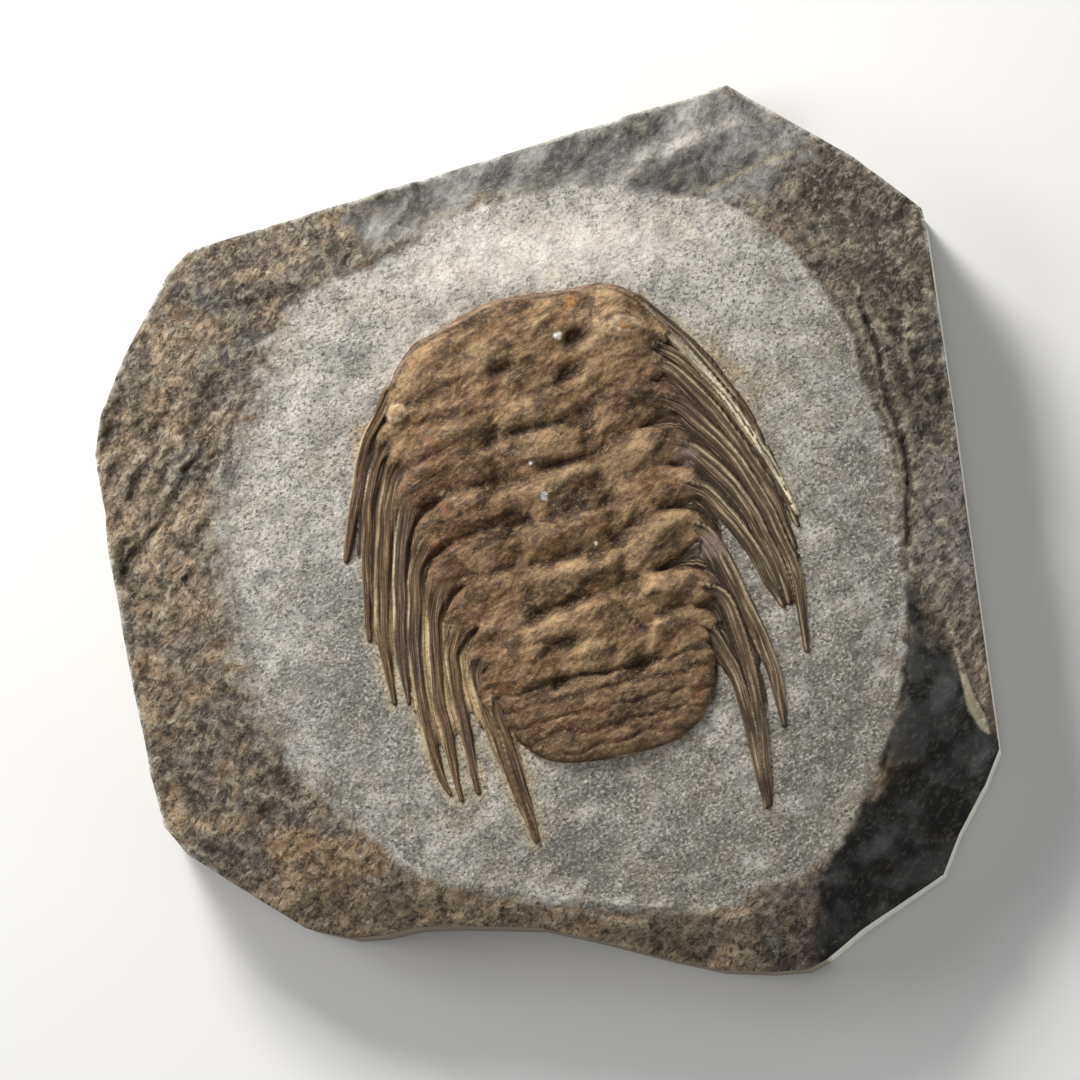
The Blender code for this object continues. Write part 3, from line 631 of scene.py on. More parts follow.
def chips(x, y, size, seed):
    """Flat chips, each with a tilt and a level of its own, from about -1 to 1."""
    column, row = np.floor(x / size), np.floor(y / size)
    nearest = np.full(np.shape(x), np.inf)
    height = np.zeros(np.shape(x))
    for step_x in (-1, 0, 1):
        for step_y in (-1, 0, 1):
            values = [lattice_values(column + step_x, row + step_y, seed + index) for index in range(5)]
            from_x = x - (column + step_x + values[0]) * size
            from_y = y - (row + step_y + values[1]) * size
            distance = np.hypot(from_x, from_y)
            plane = (values[2] - 0.5) + 2 * ((values[3] - 0.5) * from_x + (values[4] - 0.5) * from_y) / size
            height = np.where(distance < nearest, plane, height)
            nearest = np.minimum(nearest, distance)
    return height


def facet_cells():
    """Broken rock: cells with a middle, a step up or down and a slope each way."""
    rng = random.Random(ROCK_SEED)
    cells = []
    for x in np.arange(-SLAB_REACH, SLAB_REACH, FACET_SPACING):
        for y in np.arange(-SLAB_REACH, SLAB_REACH, FACET_SPACING):
            middle = x + rng.uniform(-0.5, 0.5) * FACET_SPACING, y + rng.uniform(-0.5, 0.5) * FACET_SPACING
            slope = rng.uniform(-FACET_SLOPE, FACET_SLOPE), rng.uniform(-FACET_SLOPE, FACET_SLOPE)
            cells.append((middle, rng.uniform(-FACET_STEP, FACET_STEP), slope))
    return cells


def facet_height(x, y, cells):
    """Height of the broken facet that each point lies on, against the rock's mean surface."""
    nearest = np.full(np.shape(x), np.inf)
    height = np.zeros(np.shape(x))
    for (cx, cy), step, (slope_x, slope_y) in cells:
        distance = np.hypot(x - cx, y - cy)
        plane = step + slope_x * (x - cx) + slope_y * (y - cy)
        height = np.where(distance < nearest, plane, height)
        nearest = np.minimum(nearest, distance)
    return height


def rim_drop(x, y):
    """How far the rim's break planes lie below the worked-over level."""
    drop = np.zeros(np.shape(x))
    for direction, distance, slope in RIM_PLANES:
        turn = math.radians(direction)
        outwards = x * math.cos(turn) + y * math.sin(turn) - distance
        drop = np.maximum(drop, slope * outwards)
    band_drop = BAND_SLOPE * np.maximum(x - BAND_START, 0)
    return drop - np.maximum(drop - band_drop, 0) * ease(depth_in(x, y, OUTER_BAND) / BAND_FADE)


def slab_height(x, y, into_zone):
    """Top of the rock before its fine relief, as its solid has it."""
    out_of_zone = np.maximum(-into_zone, 0)
    zone_edge = SLAB_THICKNESS - ZONE_CROWN
    zone_top = zone_edge + ZONE_CROWN * ease(into_zone / ZONE_CROWN_WIDTH)
    lip = LIP_HEIGHT * (0.5 + 0.5 * np.cos(np.arctan2(y, x) - LIP_DIRECTION)) * ease(out_of_zone / LIP_WIDTH)
    facets = facet_height(*warped(x, y, 1.6, 9, 3, 61), facet_cells()) * ease(out_of_zone / FACET_FADE)
    rim_top = zone_edge + lip + facets - rim_drop(x, y) * ease(out_of_zone / RIM_FADE)
    return np.where(into_zone >= 0, zone_top, rim_top)


def spine_controls(points, half_width):
    """Control values of a spine from its tip to its root: x, y, half width, height and 1 for spine."""
    last = len(points) - 1
    found = []
    for index, (x, y) in enumerate(points):
        share = (index / last) ** SPINE_TAPER
        width = TIP_HALF_WIDTH + (half_width - TIP_HALF_WIDTH) * share
        found.append((x, y, width, TIP_HEIGHT + (SPINE_HEIGHT - TIP_HEIGHT) * share, 1.0))
    return found


def segment_strip(segment):
    """A segment's stations from its left tip to its right tip: x, y, half width, height, share of spine."""
    left, body, right, (left_width, right_width) = segment
    controls = spine_controls(left, left_width)
    widths_and_heights = zip(body, BODY_HALF_WIDTHS, BODY_HEIGHTS)
    controls += [(*place, width, height, 0) for place, width, height in widths_and_heights]
    controls += spine_controls(right[::-1], right_width)[::-1]
    return smooth_points(controls, STATION_SPACING)


def cheek_strip(points, half_width):
    """A cheek spine's stations, from the tip on the left side and to the tip on the right side."""
    controls = spine_controls(points[::-1], half_width)
    return smooth_points(controls[::-1] if points[0][0] > 0 else controls, STATION_SPACING)


def all_strips():
    """The stations of each segment and then of each cheek spine."""
    strips = [segment_strip(segment) for segment in SEGMENTS]
    return strips + [cheek_strip(points, half_width) for points, half_width in CHEEK_SPINES]


def strip_places(x, y, stations, reach):
    """For each point: its distance beyond the strip's edge, its place across (-1 to 1) and along the strip,
    the strip's height there, its share of spine and half width. Points out of reach stay at inf."""
    beyond = np.full(np.shape(x), np.inf)
    across, along, height, spine, width = (np.zeros(np.shape(x)) for _ in range(5))
    run = 0.0
    for first, second in zip(stations, stations[1:]):
        dx, dy = second[0] - first[0], second[1] - first[1]
        length = math.hypot(dx, dy)
        if length == 0:
            continue
        window = first[2] + length + reach
        chosen = np.nonzero((np.abs(x - first[0]) < window) & (np.abs(y - first[1]) < window))[0]
        from_x, from_y = x[chosen] - first[0], y[chosen] - first[1]
        share = np.clip((from_x * dx + from_y * dy) / length ** 2, 0, 1)
        aside = (from_y * dx - from_x * dy) / length
        distance = np.hypot(from_x - share * dx, from_y - share * dy)
        half_width, top, on_spine = (a + (b - a) * share for a, b in zip(first[2:], second[2:]))
        closer = distance - half_width < beyond[chosen]
        chosen, distance, half_width = chosen[closer], distance[closer], half_width[closer]
        beyond[chosen] = distance - half_width
        across[chosen] = np.copysign(distance, aside[closer]) / half_width
        along[chosen] = run + share[closer] * length
        height[chosen] = top[closer]
        spine[chosen] = on_spine[closer]
        width[chosen] = half_width
        run += length
    return beyond, across, along, height, spine, width


def head_height(x, y, depth):
    """Border, dome, lumps, furrow, pits, crack and streaks of the head, at this depth inside its outline."""
    within = np.maximum(depth, 0)
    height = HEAD_BORDER_HEIGHT + HEAD_DOME_HEIGHT * (1 - np.exp(-within / HEAD_DOME_WIDTH))
    for *place, rise in HEAD_LUMPS:
        height += rise * np.exp(-ellipse_share(x, y, *place))
    furrow = bell(distance_to_line(x, y, HEAD_FURROW), HEAD_FURROW_WIDTH)
    height -= HEAD_FURROW_DEPTH * furrow * ease(within / HEAD_EDGE_FADE)
    for *place, fall in HEAD_PITS:
        height -= fall * np.exp(-ellipse_share(x, y, *place))
    height -= HEAD_CRACK_DEPTH * bell(distance_to_line(x, y, HEAD_CRACK), HEAD_CRACK_WIDTH)
    streaks = np.cos(2 * math.pi * within / HEAD_STREAK_PITCH) * np.exp(-within / HEAD_STREAK_FADE)
    return height + HEAD_STREAK_HEIGHT * streaks * ease(within / 0.6)


def rib_count(x, y):
    """How many of the tail's ribs a point is in front of the middle."""
    return turned(x, y, TAIL_RIB_TURN)[1] / TAIL_RIB_PITCH


def tail_height(x, y, depth):
    """Border, dome, axis and low ribs of the tail, at this depth inside its outline."""
    within = np.maximum(depth, 0)
    height = TAIL_BORDER_HEIGHT + TAIL_DOME_HEIGHT * (1 - np.exp(-within / TAIL_DOME_WIDTH))
    from_axis = distance_to_line(x, y, TAIL_AXIS) / TAIL_AXIS_HALF_WIDTH
    height += TAIL_AXIS_HEIGHT * np.exp(-from_axis ** 4)
    ribs = np.cos(2 * math.pi * (rib_count(x, y) + 0.5 * noise(x, y, 9, 95)))
    return height + TAIL_RIB_HEIGHT * ribs * ease(within / TAIL_EDGE_FADE)


def overlay(shell, top, **values):
    """Lays a form on the shell and takes its values wherever it is the highest so far."""
    higher = top > shell["relief"]
    for name, value in dict(values, relief=top).items():
        shell[name] = np.where(higher, value, shell[name])


def lay_strips(x, y, shell):
    """Lays segments and cheek spines, and finds each point's distance to its nearest two strips."""
    profiles = [np.array(smooth_points(profile, 0.03)).T for profile in (BODY_PROFILE, SPINE_PROFILE)]
    first, second = (np.full(np.shape(x), np.inf) for _ in range(2))
    for index, stations in enumerate(all_strips()):
        beyond, place, run, height, on_spine, width = strip_places(x, y, stations, STRIP_REACH)
        ribbed, stranded = (np.interp(place, *profile) for profile in profiles)
        height += CREAM_SPINE_RISE * (index == CREAM_SPINE)
        top = height * (ribbed + (stranded - ribbed) * ease(on_spine))
        fibres = noise(run / 14, place * width, 0.6, 31 + index)
        top += FIBRE_HEIGHT * fibres * ease(on_spine) * ease(-beyond / 0.3)
        top = np.where(beyond < 0, top, -FALL_OUTSIDE * beyond)
        second = np.minimum(second, np.maximum(first, beyond))
        first = np.minimum(first, beyond)
        from_tip = np.minimum(run, run.max() - run)
        overlay(shell, top, along=run, across=place * width, spine=on_spine, number=index, from_tip=from_tip)
    return first, second


def spine_web(x, y, first, second, from_tip):
    """Height of the filling in narrow gaps, from each point's distance to its nearest two strips."""
    gap = WEB_GAP * ease(from_tip / WEB_TIP_FADE) + (WEB_ROOT_GAP - WEB_GAP) * ramp(from_tip, 25, 31)
    web = WEB_HEIGHT * ease((gap - first - second) / 0.8) * ease(first / 0.2)
    web = np.where((first > 0) & (first + second < gap), web, 0)
    web *= 1 - ease(1.7 - ellipse_share(x, y, *OPEN_ROCK))
    return np.maximum(web, WEB_HEIGHT * ease(1.8 - 1.3 * ellipse_share(x, y, *FILLED_HOLE)) * (first > 0))


def shell_relief(x, y):
    """What the shell is at each point, by name: its relief above the worked-over surface, its place along and
    across a segment or spine, its share of spine, the segment's number, how far it is from the nearest tip
    and how high the web between spines is."""
    shell = {name: np.zeros(np.shape(x)) for name in ("along", "across", "spine", "number", "from_tip")}
    shell["relief"] = np.full(np.shape(x), -np.inf)
    warp_x, warp_y = warped(x, y, 0.22, 9, 2, 11)
    first, second = lay_strips(warp_x, warp_y, shell)
    shell["web"] = spine_web(x, y, first, second, shell["from_tip"])
    shell["relief"] = np.maximum(shell["relief"], np.where(shell["web"] > 0, shell["web"], -np.inf))
    lengthwise, crosswise = turned(x, y, 20)
    for form, outline, number in ((head_height, HEAD_OUTLINE, HEAD), (tail_height, TAIL_OUTLINE, TAIL)):
        depth = depth_in(warp_x, warp_y, smooth_points(outline, STATION_SPACING, closed=True))
        top = form(warp_x, warp_y, depth) * ramp(depth, -0.2, 1.1) ** 0.5
        top += FALL_OUTSIDE * np.minimum(depth, 0)
        overlay(shell, top, along=lengthwise, across=crosswise, spine=0, number=number, web=0)
    shell["relief"] += EYE_BLOCK_HEIGHT * ease(2.2 - 1.4 * ellipse_share(x, y, *EYE_BLOCK))
    for eye in EYES:
        dome = np.sqrt(np.clip(1 - ellipse_share(x, y, *eye), 0, 1))
        risen = np.maximum(shell["relief"], EYE_BASE) + EYE_RISE * dome
        shell["relief"] = np.where(dome > 0, risen, shell["relief"])
    return shell


def pit_field(x, y):
    """Depth of the pits on both sides of the axis and of the grooves that join them."""
    depth = np.zeros(np.shape(x))
    for middle in RIGHT_PITS + LEFT_PITS:
        depth = np.maximum(depth, np.exp(-ellipse_share(x, y, middle, PIT_LENGTH, PIT_WIDTH, PIT_TURN)))
    grooves = [(line, 0.45, 1.7) for line in (LEFT_PITS, RIGHT_PITS)]
    grooves += [(ends, 0.55, 1.1) for ends in zip(LEFT_PITS, RIGHT_PITS[2:])]
    for line, share, width in grooves:
        depth = np.maximum(depth, share * bell(distance_to_line(x, y, line), width))
    return PIT_DEPTH * depth * (0.8 + 0.4 * noise(x, y, 3.0, 91))


def shell_detail(x, y, spine, number):
    """Lumps, folds, wrinkles and grain of the shell, in millimetres."""
    warp_x, warp_y = warped(x, y, 0.9, 6, 2, 141, 4)
    lumps = 0.9 * noise(*turned(warp_x, warp_y, 30, 1.7), 5.5, 101)
    lumps += 0.36 * noise(*turned(warp_x, warp_y, 30, 1.6), 2.9, 102)
    folds = 0.3 * creases(*turned(warp_x, warp_y, 30, 3.0), 3.4, 1, 111)
    folds += 0.45 * (number == TAIL) * (1 - 2 * np.abs(np.cos(math.pi * rib_count(warp_x, warp_y))) ** 6)
    wrinkles = 0.13 * creases(*turned(warp_x, warp_y, 50, 3.4), 1.5, 2, 121)
    grain = 0.08 * fractal(x, y, 1.2, 2, 131)
    on_body = 1 - ease(spine * 1.6)
    calmer = np.where(number == TAIL, 0.55, 1.0)
    return on_body * calmer * (lumps + folds + wrinkles) + grain * (0.3 + 0.7 * on_body)


def triangle_sides(faces):
    """The three directed sides of each triangle."""
    return np.concatenate([faces[:, [0, 1]], faces[:, [1, 2]], faces[:, [2, 0]]])


def mesh_edges(faces):
    """Each edge of a list of triangles once."""
    return np.unique(np.sort(triangle_sides(faces), axis=1), axis=0)


def border_edges(faces):
    """The directed edges that only one triangle has, in that triangle's direction."""
    sides = triangle_sides(faces)
    _, first, counts = np.unique(np.sort(sides, axis=1), axis=0, return_index=True, return_counts=True)
    return sides[first[counts == 1]]


def relax(values, edges, rounds):
    """Spreads values over a mesh: each round gives every point the mean of itself and its neighbours."""
    count = len(values)
    shared = np.bincount(edges.ravel(), minlength=count) + 1
    for _ in range(rounds):
        total = values.copy()
        total += np.bincount(edges[:, 0], values[edges[:, 1]], count)
        total += np.bincount(edges[:, 1], values[edges[:, 0]], count)
        values = total / shared
    return values


def shifted_rows(outline, spacing):
    """A triangular grid over an outline's box, in rows of which every second one is shifted."""
    xs, ys = np.array(outline).T[:2]
    rows = np.arange(ys.min(), ys.max(), spacing * math.sqrt(3) / 2)
    x, y = np.meshgrid(np.arange(xs.min(), xs.max(), spacing), rows)
    return x + (np.arange(len(rows)) % 2)[:, None] * spacing / 2, y


def shaken_grid(outline, spacing, seed):
    """Points of a slightly shaken triangular grid over an outline's box."""
    rng = np.random.default_rng(seed)
    rows = shifted_rows(outline, spacing)
    return [place.ravel() + rng.uniform(-GRID_SHAKE, GRID_SHAKE, place.size) * spacing for place in rows]


def triangle_grid(outline, spacing):
    """A triangular grid over an outline's box: its points and its triangles."""
    x, y = shifted_rows(outline, spacing)
    index = np.arange(x.size).reshape(x.shape)
    low_left, low_right = index[:-1, :-1], index[:-1, 1:]
    high_left, high_right = index[1:, :-1], index[1:, 1:]
    odd = (np.arange(len(x) - 1) % 2 == 1)[:, None]
    lower = np.stack([low_left, low_right, np.where(odd, high_right, high_left)], axis=-1)
    upper = np.stack([np.where(odd, low_left, low_right), high_right, high_left], axis=-1)
    return x.ravel(), y.ravel(), np.concatenate([lower.reshape(-1, 3), upper.reshape(-1, 3)])


def link(name, data):
    """A new object in the scene."""
    item = bpy.data.objects.new(name, data)
    bpy.context.scene.collection.objects.link(item)
    return item


def new_piece(name, points, faces, material):
    """An object from points in millimetres and faces, shaded smooth."""
    data = bpy.data.meshes.new(name)
    data.from_pydata([tuple(point) for point in points * MM], [], [tuple(face) for face in faces])
    data.materials.append(material)
    data.shade_smooth()
    data.update()
    return link(name, data)


def give_values(item, name, *parts):
    """Stores one number or one colour for each point of a mesh, from one or more runs of points."""
    values = np.concatenate(parts)
    if values.ndim == 1:
        attribute = item.data.attributes.new(name, "FLOAT", "POINT")
        attribute.data.foreach_set("value", values.astype(np.float32))
        return
    attribute = item.data.attributes.new(name, "FLOAT_COLOR", "POINT")
    colours = np.concatenate([values, np.ones((len(values), 1))], axis=1)
    attribute.data.foreach_set("color", colours.astype(np.float32).ravel())


def close_below(points, faces, depth):
    """Walls from the border down to a flat underside, whose few large triangles follow the border's loops."""
    border = border_edges(faces)
    used = np.unique(border)
    order = {number: index for index, number in enumerate(used)}
    loops = [(order[a], order[b]) for a, b in border]
    below = points[used].copy()
    below[:, 2] = depth
    count = len(points)
    walls = [(b, a, count + first, count + second) for (a, b), (first, second) in zip(border, loops)]
    corners = [Vector(point) for point in below[:, :2]]
    found = np.array(geometry.delaunay_2d_cdt(corners, loops, [], ALL_TRIANGLES, MERGE_DISTANCE)[2])
    x, y, _ = below[found].mean(axis=1).T
    crossed = np.zeros(len(found), bool)
    for a, b in loops:
        crossed ^= crosses(x, y, below[a, :2], below[b, :2])
    return np.concatenate([points, below]), walls + list(found[crossed][:, ::-1] + count)


class Coat:
    """Colours of points, to which tints are added one over another."""

    def __init__(self, x, y, tint):
        self.x, self.y = x, y
        self.colours = np.tile(tint, (len(x), 1))

    def add(self, tint, share):
        """Blends in a tint, or another coat, by a share from 0 to 1."""
        if isinstance(tint, Coat):
            tint = tint.colours
        share = np.clip(np.broadcast_to(share, len(self.x)), 0, 1)[:, None]
        self.colours = self.colours + (tint - self.colours) * share
        return self

    def add_patches(self, tint, strength, places, seed):
        """Blends in a tint on oval patches with ragged borders."""
        for index, place in enumerate(places):
            self.add(tint, strength * patch(self.x, self.y, *place, seed + index))


def spine_share(shell):
    """How much of a spine, or of the web between spines, the shell is at each point."""
    return np.maximum(ease(shell["spine"] * 1.5), ease(shell["web"] / 0.3))


def body_coat(x, y, number, hollow):
    """Ochre with a painted tan highlight on the crests, redder low on the left and more purple on the tail.
    """
    drawn_out = turned(x, y, 28, 2)
    patches = fractal(*turned(x, y, 28, 1.6), 7, 4, 201)
    streaks = fractal(*turned(x, y, 28, 2.4), 3.2, 4, 229)
    low_left = ramp(x, -1, -13) * ramp(y, 18, 8)
    body = Coat(x, y, SHELL_OCHRE)
    body.add(SHELL_TAN, 0.55 * ease(0.35 + patches))
    body.add(SHELL_OLIVE, 0.55 * mottled(*drawn_out, 5, 4, 211, 1, 0.2))
    body.add(SHELL_PURPLE, 0.6 * mottled(*drawn_out, 6, 4, 221, 1.7))
    body.add(SHELL_RED, 0.6 * mottled(*drawn_out, 8, 4, 226, 1.6))
    # Painted highlight: tan on the crests, where the surface bulges above its neighbours.
    body.add(SHELL_TAN, 0.6 * ease(-hollow / 0.3))
    body.add(SHELL_PURPLE, 0.45 * (number == TAIL))
    body.add(SHELL_RED, 0.55 * low_left * ease(0.8 + patches))
    body.add(SHELL_PURPLE, 0.35 * low_left)
    body.add(SHELL_DARK, 0.5 * mottled(*turned(x, y, 28, 1.7), 5.5, 4, 228, 2, -0.5))
    body.add(SHELL_DARK, 0.42 * ease(streaks * 2.0 - 0.3))
    body.add(SHELL_TAN, 0.3 * ease(-streaks * 2.0 - 0.4) * (number != TAIL))
    return body.add(SHELL_TAN, 0.3 * (number == HEAD) * ease(0.3 + patches))


def spine_coat(x, y, shell, low_left):
    """Brown strands with cream edges, partly pale shell and partly painted highlight, and the filling between
    spines dark with painted shade, or cream low on the left.
    """
    along, across, number, web = (shell[name] for name in ("along", "across", "number", "web"))
    right_fan = ramp(x, 14, 22)
    strands = noise(along / 16, across + number * 7, 1.2, 231)
    spines = Coat(x, y, SPINE_BROWN).add(SPINE_TAN, ease(0.5 + strands))
    spines.add(SHELL_MAUVE, 0.7 * ease(noise(along / 20, number * 5.3, 1.0, 236) * 1.5))
    spines.add(SPINE_DARK, 0.5 + 0.35 * right_fan * ease(0.8 + 0.5 * strands))
    # Cream edges and lines along the spines: partly pale shell, partly painted highlight on their outer
    # edges.
    cream_showing = ease(0.5 + 0.9 * noise(along / 7, number * 3 + across * 0.2, 1.0, 241))
    cream_and_highlight = bell(across - 1.15, 0.26) * np.maximum(cream_showing, 0.9 * right_fan)
    cream_and_highlight += 0.8 * right_fan * bell(across + 0.2, 0.2) * cream_showing
    spines.add(SHELL_CREAM, np.minimum(cream_and_highlight, 0.95) * (web <= 0))
    cream_ridge = (number == CREAM_SPINE) * (0.3 + 0.7 * ramp(y, 37, 28))
    spines.add(CREAM_RIDGE, cream_ridge * ease(1.8 - 1.2 * np.abs(across)))
    # Painted shade: the filling in narrow gaps between spines is dark, partly dark shell and partly the shade
    # in those gaps.
    spines.add(Coat(x, y, SHELL_DARK).add(WEB_CREAM, low_left), 0.85 * ease(web / 0.3))
    bare = (web > 0) * ramp(web, 0.3, 0.1) * (shell["from_tip"] < WEB_TIP_FADE)
    return spines.add(ZONE_GREY, 0.8 * bare)


def shell_colours(x, y, shell, hollow, wide_hollow):
    """The shell's colour at each point: body and spines, painted shade in furrows, pits and border, eyes,
    patches and specks.
    """
    on_spine, number = spine_share(shell), shell["number"]
    low_left = ramp(y, -8, -22) * ramp(x, 6, 0)
    coat = body_coat(x, y, number, hollow).add(spine_coat(x, y, shell, low_left), on_spine)
    # Painted shade: dark in the narrow and wide hollows of the shell, deepest in the furrows and pits.
    furrow = ease(hollow / 0.5) * 0.62 + ease(wide_hollow / 1.5) * 0.45
    dark = furrow * ease((shell["relief"] - 0.15) / 0.9) * (1 - 0.8 * low_left * on_spine)
    coat.add(SHELL_DARK, np.clip(dark, 0, 0.9))
    coat.add(SHELL_BLOCK, 0.85 * ease(1.9 - 1.2 * ellipse_share(x, y, *EYE_BLOCK)))
    for eye in EYES:
        share = ellipse_share(x, y, *eye)
        coat.add(SHELL_TAN, 0.8 * ease(1.7 - share))
        coat.add(SHELL_CREAM, 0.8 * bell(np.sqrt(share) - 0.9, 0.2))
        coat.add(SHELL_DARK, 0.45 * bell(np.sqrt(share) - 1.35, 0.16))
    ragged = 0.35 * noise(x, y, 1.6, 261)
    for *place, tint in SHELL_PATCHES:
        coat.add(tint, 0.8 * ease(1.6 - (np.sqrt(ellipse_share(x, y, *place)) + ragged)))
    depth = depth_in(x, y, smooth_points(HEAD_OUTLINE, STATION_SPACING, closed=True))
    on_border = (y > 22) * (number == HEAD)
    coat.add(SHELL_LILAC, 0.7 * bell(depth - 0.35, 0.3) * on_border)
    # Painted shade: a dark line in the gap just inside the head's raised border.
    coat.add(SHELL_DARK, 0.85 * bell(depth - 1.05, 0.34) * on_border * ease(0.8 + noise(x, y, 3, 265)))
    for middle, size in WHITE_SPECKS:
        distance = np.hypot(x - middle[0], y - middle[1]) / size + 0.5 * noise(x, y, 0.8, 266)
        coat.add(1.6 * SPECK_WHITE, ease(2 - 1.2 * distance))
    return coat.colours


def refine_shell(x, y, shell, edges):
    """Fills the furrows unevenly, sinks the pits and adds the fine relief. Gives the pits' depth."""
    relief = relax(shell["relief"], edges, 1)
    on_body = ramp(relief, 0.6, 1.8) * (1 - ease(shell["spine"] * 1.5))
    fill = np.clip(VALLEY_FILL + 0.75 * fractal(*turned(x, y, 18, 1.6), 7.0, 2, 81), 0.05, 0.92)
    relief += fill * (relax(relief, edges, FILL_ROUNDS) - relief) * on_body
    pits = pit_field(x, y) * on_body
    relief -= pits
    relief += (relax(relief, edges, SOFTEN_ROUNDS) - relief) * on_body
    relief += shell_detail(x, y, shell["spine"], shell["number"]) * ease(relief / 0.8)
    shell["relief"] = np.where(on_body > 0.9, np.maximum(relief, 0.5), relief)
    return pits


def build_shell(material):
    """The fossil's fine surface, closed below the worked-over one."""
    x, y, faces = triangle_grid(SHELL_BOX, SHELL_SPACING)
    shell = shell_relief(x, y)
    faces = faces[shell["relief"][faces].max(axis=1) > SHELL_CUT]
    used = np.unique(faces)
    place = np.full(len(x), -1)
    place[used] = np.arange(len(used))
    faces = place[faces]
    x, y = x[used], y[used]
    shell = {name: values[used] for name, values in shell.items()}
    edges = mesh_edges(faces)
    pits = refine_shell(x, y, shell, edges)
    relief = shell["relief"]
    hollow, wide_hollow = (relax(relief, edges, rounds) - relief for rounds in HOLLOW_ROUNDS)
    points = np.stack([x, y, SLAB_THICKNESS + relief], axis=1)
    points, closing = close_below(points, faces, SLAB_THICKNESS - SHELL_SUNK)
    item = new_piece("fossil_relief", points, [*faces, *closing], material)
    hidden = np.zeros(len(points) - len(x))
    # The pits' depth deepens the painted shade of the wide hollows.
    colours = shell_colours(x, y, shell, hollow, wide_hollow + 0.5 * pits)
    give_values(item, "tint", colours, np.tile(SHELL_DARK, (len(hidden), 1)))
    give_values(item, "spine", spine_share(shell), hidden)
    give_values(item, "along", shell["along"], hidden)
    give_values(item, "across", shell["across"] + 9 * shell["number"], hidden)
    return item


def broken_relief(x, y, slate, black):
    """Lumps, creases, chips and plates of the broken rim, calmer on the slate and flat on the dark facet."""
    warp_x, warp_y = warped(x, y, 1.5, 7, 3, 301)
    broken = 0.95 * fractal(x, y, 12, 3, 341) + 0.26 * creases(warp_x, warp_y, 4.4, 3, 345)
    broken += 0.22 * chips(warp_x, warp_y, 12.0, 347)
    broken *= 1 - 0.6 * slate
    broken += slate * (0.45 * chips(warp_x, warp_y, 9.0, 321) + 0.12 * chips(warp_x, warp_y, 3.0, 331))
    lumpy = ramp(x, -50, -62) * ramp(np.abs(y - 4), 30, 10)
    broken += 1.1 * lumpy * fractal(*turned(warp_x, warp_y, 58, 3.0), 3.6, 2, 351)
    across, along = turned(warp_x, warp_y, 12)
    broken += 0.4 * ramp(x, 48, 60) * (1 - black) * creases(across, along / 2.6, 5.2, 2, 355)
    for outline, step in PLATES:
        depth = depth_in(warp_x, warp_y, outline)
        broken += step * ease(depth / PLATE_EDGE) * (1 - ease(depth / PLATE_FADE))
    broken += 0.2 * (1 - 0.6 * slate) * fractal(x, y, 2.6, 2, 359)
    planes = 0.42 * chips(warp_x, warp_y, DARK_FACET_SIZE, 357) + 0.3 * fractal(x, y, 14, 3, 358)
    return broken + (planes - broken) * black


def rock_relief(x, y, into_zone, to_edge, slate):
    """Fine relief of the rock: broken rim, nearly smooth zone, tool marks, worn edge and crack."""
    broken = broken_relief(x, y, slate, ease(depth_in(x, y, BLACK_REGION) / 2))
    smooth = 0.3 * fractal(x, y, 9, 3, 361) + 0.07 * fractal(x, y, 1.9, 2, 371)
    row_x, row_low, row_high = TOOL_ROW
    row = ramp(np.abs(x - row_x), 1.3, 0.8) * ease((y - row_low) / 2) * ease((row_high - y) / 2)
    smooth -= TOOL_DEPTH * row * (0.5 + 0.5 * np.cos(2 * math.pi * y / TOOL_PITCH))
    worn_edge = 0.7 * ease(1 - to_edge / 1.2) * (0.4 + 0.6 * ease(0.5 + noise(x, y, 3.0, 381)))
    crack = CRACK_DEPTH * bell(distance_to_line(x, y, CRACK_LINE), CRACK_WIDTH)
    return smooth + (broken - smooth) * ease(-into_zone / 2.5) - worn_edge - crack


def border_width(x, y):
    """Width of the colour change at the worked-over zone's border, which is soft on the left."""
    return 1.8 + 7.0 * ramp(np.cos(np.arctan2(y, x) - math.radians(183)), 0.35, 0.95)


def region(x, y, outline, softness, seed):
    """Share of a region with a ragged border."""
    ragged = 1.4 * softness * fractal(x, y, 5, 3, seed)
    return ease(0.5 + (depth_in(x, y, outline) + ragged) / (2 * softness))


def patch(x, y, middle, half_length, half_width, turn, seed):
    """Share of an oval patch with a ragged border."""
    ragged = 0.9 * fractal(x, y, 4, 3, seed)
    return ease(1.3 - np.sqrt(ellipse_share(x, y, middle, half_length, half_width, turn)) + ragged * 0.5)


def slate_coat(x, y):
    """Grey slate at the top, streaked, with a pale band and a cream ledge."""
    streaked = 0.5 + 0.6 * fractal(*turned(x, y, 66, 3.5), 5.0, 4, 426) + 0.5 * fractal(x, y, 12, 2, 427)
    slate = Coat(x, y, SLATE_DARK).add(SLATE_PALE, ease(streaked))
    slate.add_patches(SLATE_DARK, 0.8, SLATE_SHADES, 428)
    band = bell(distance_to_line(x, y, SLATE_BAND), 1.7) * mottled(x, y, 4, 3, 429, 1, 0.8)
    ledge = bell(distance_to_line(x, y, SLATE_LEDGE), 0.6) * mottled(x, y, 3, 2, 430, 1, 0.8)
    return slate.add(ZONE_WHITE, 0.6 * band).add(CREAM_ROCK, 0.85 * ledge)


def dark_coat(x, y):
    """The dark facet at the lower right, dark grey stone painted near black with painted shade, with greyer
    facets and an olive stain.
    """
    facets = chips(*warped(x, y, 1.5, 7, 3, 301), DARK_FACET_SIZE, 357) + 1.1 * fractal(x, y, 6, 5, 465)
    dark = Coat(x, y, DARK_ROCK_AND_SHADE).add(SLATE, 0.24 * ease(0.35 + facets))
    dark.add_patches(SLATE, 0.5, GREY_FACETS, 466)
    dark.add_patches(OLIVE_BROWN, 0.5, OLIVE_STAINS, 469)
    return dark


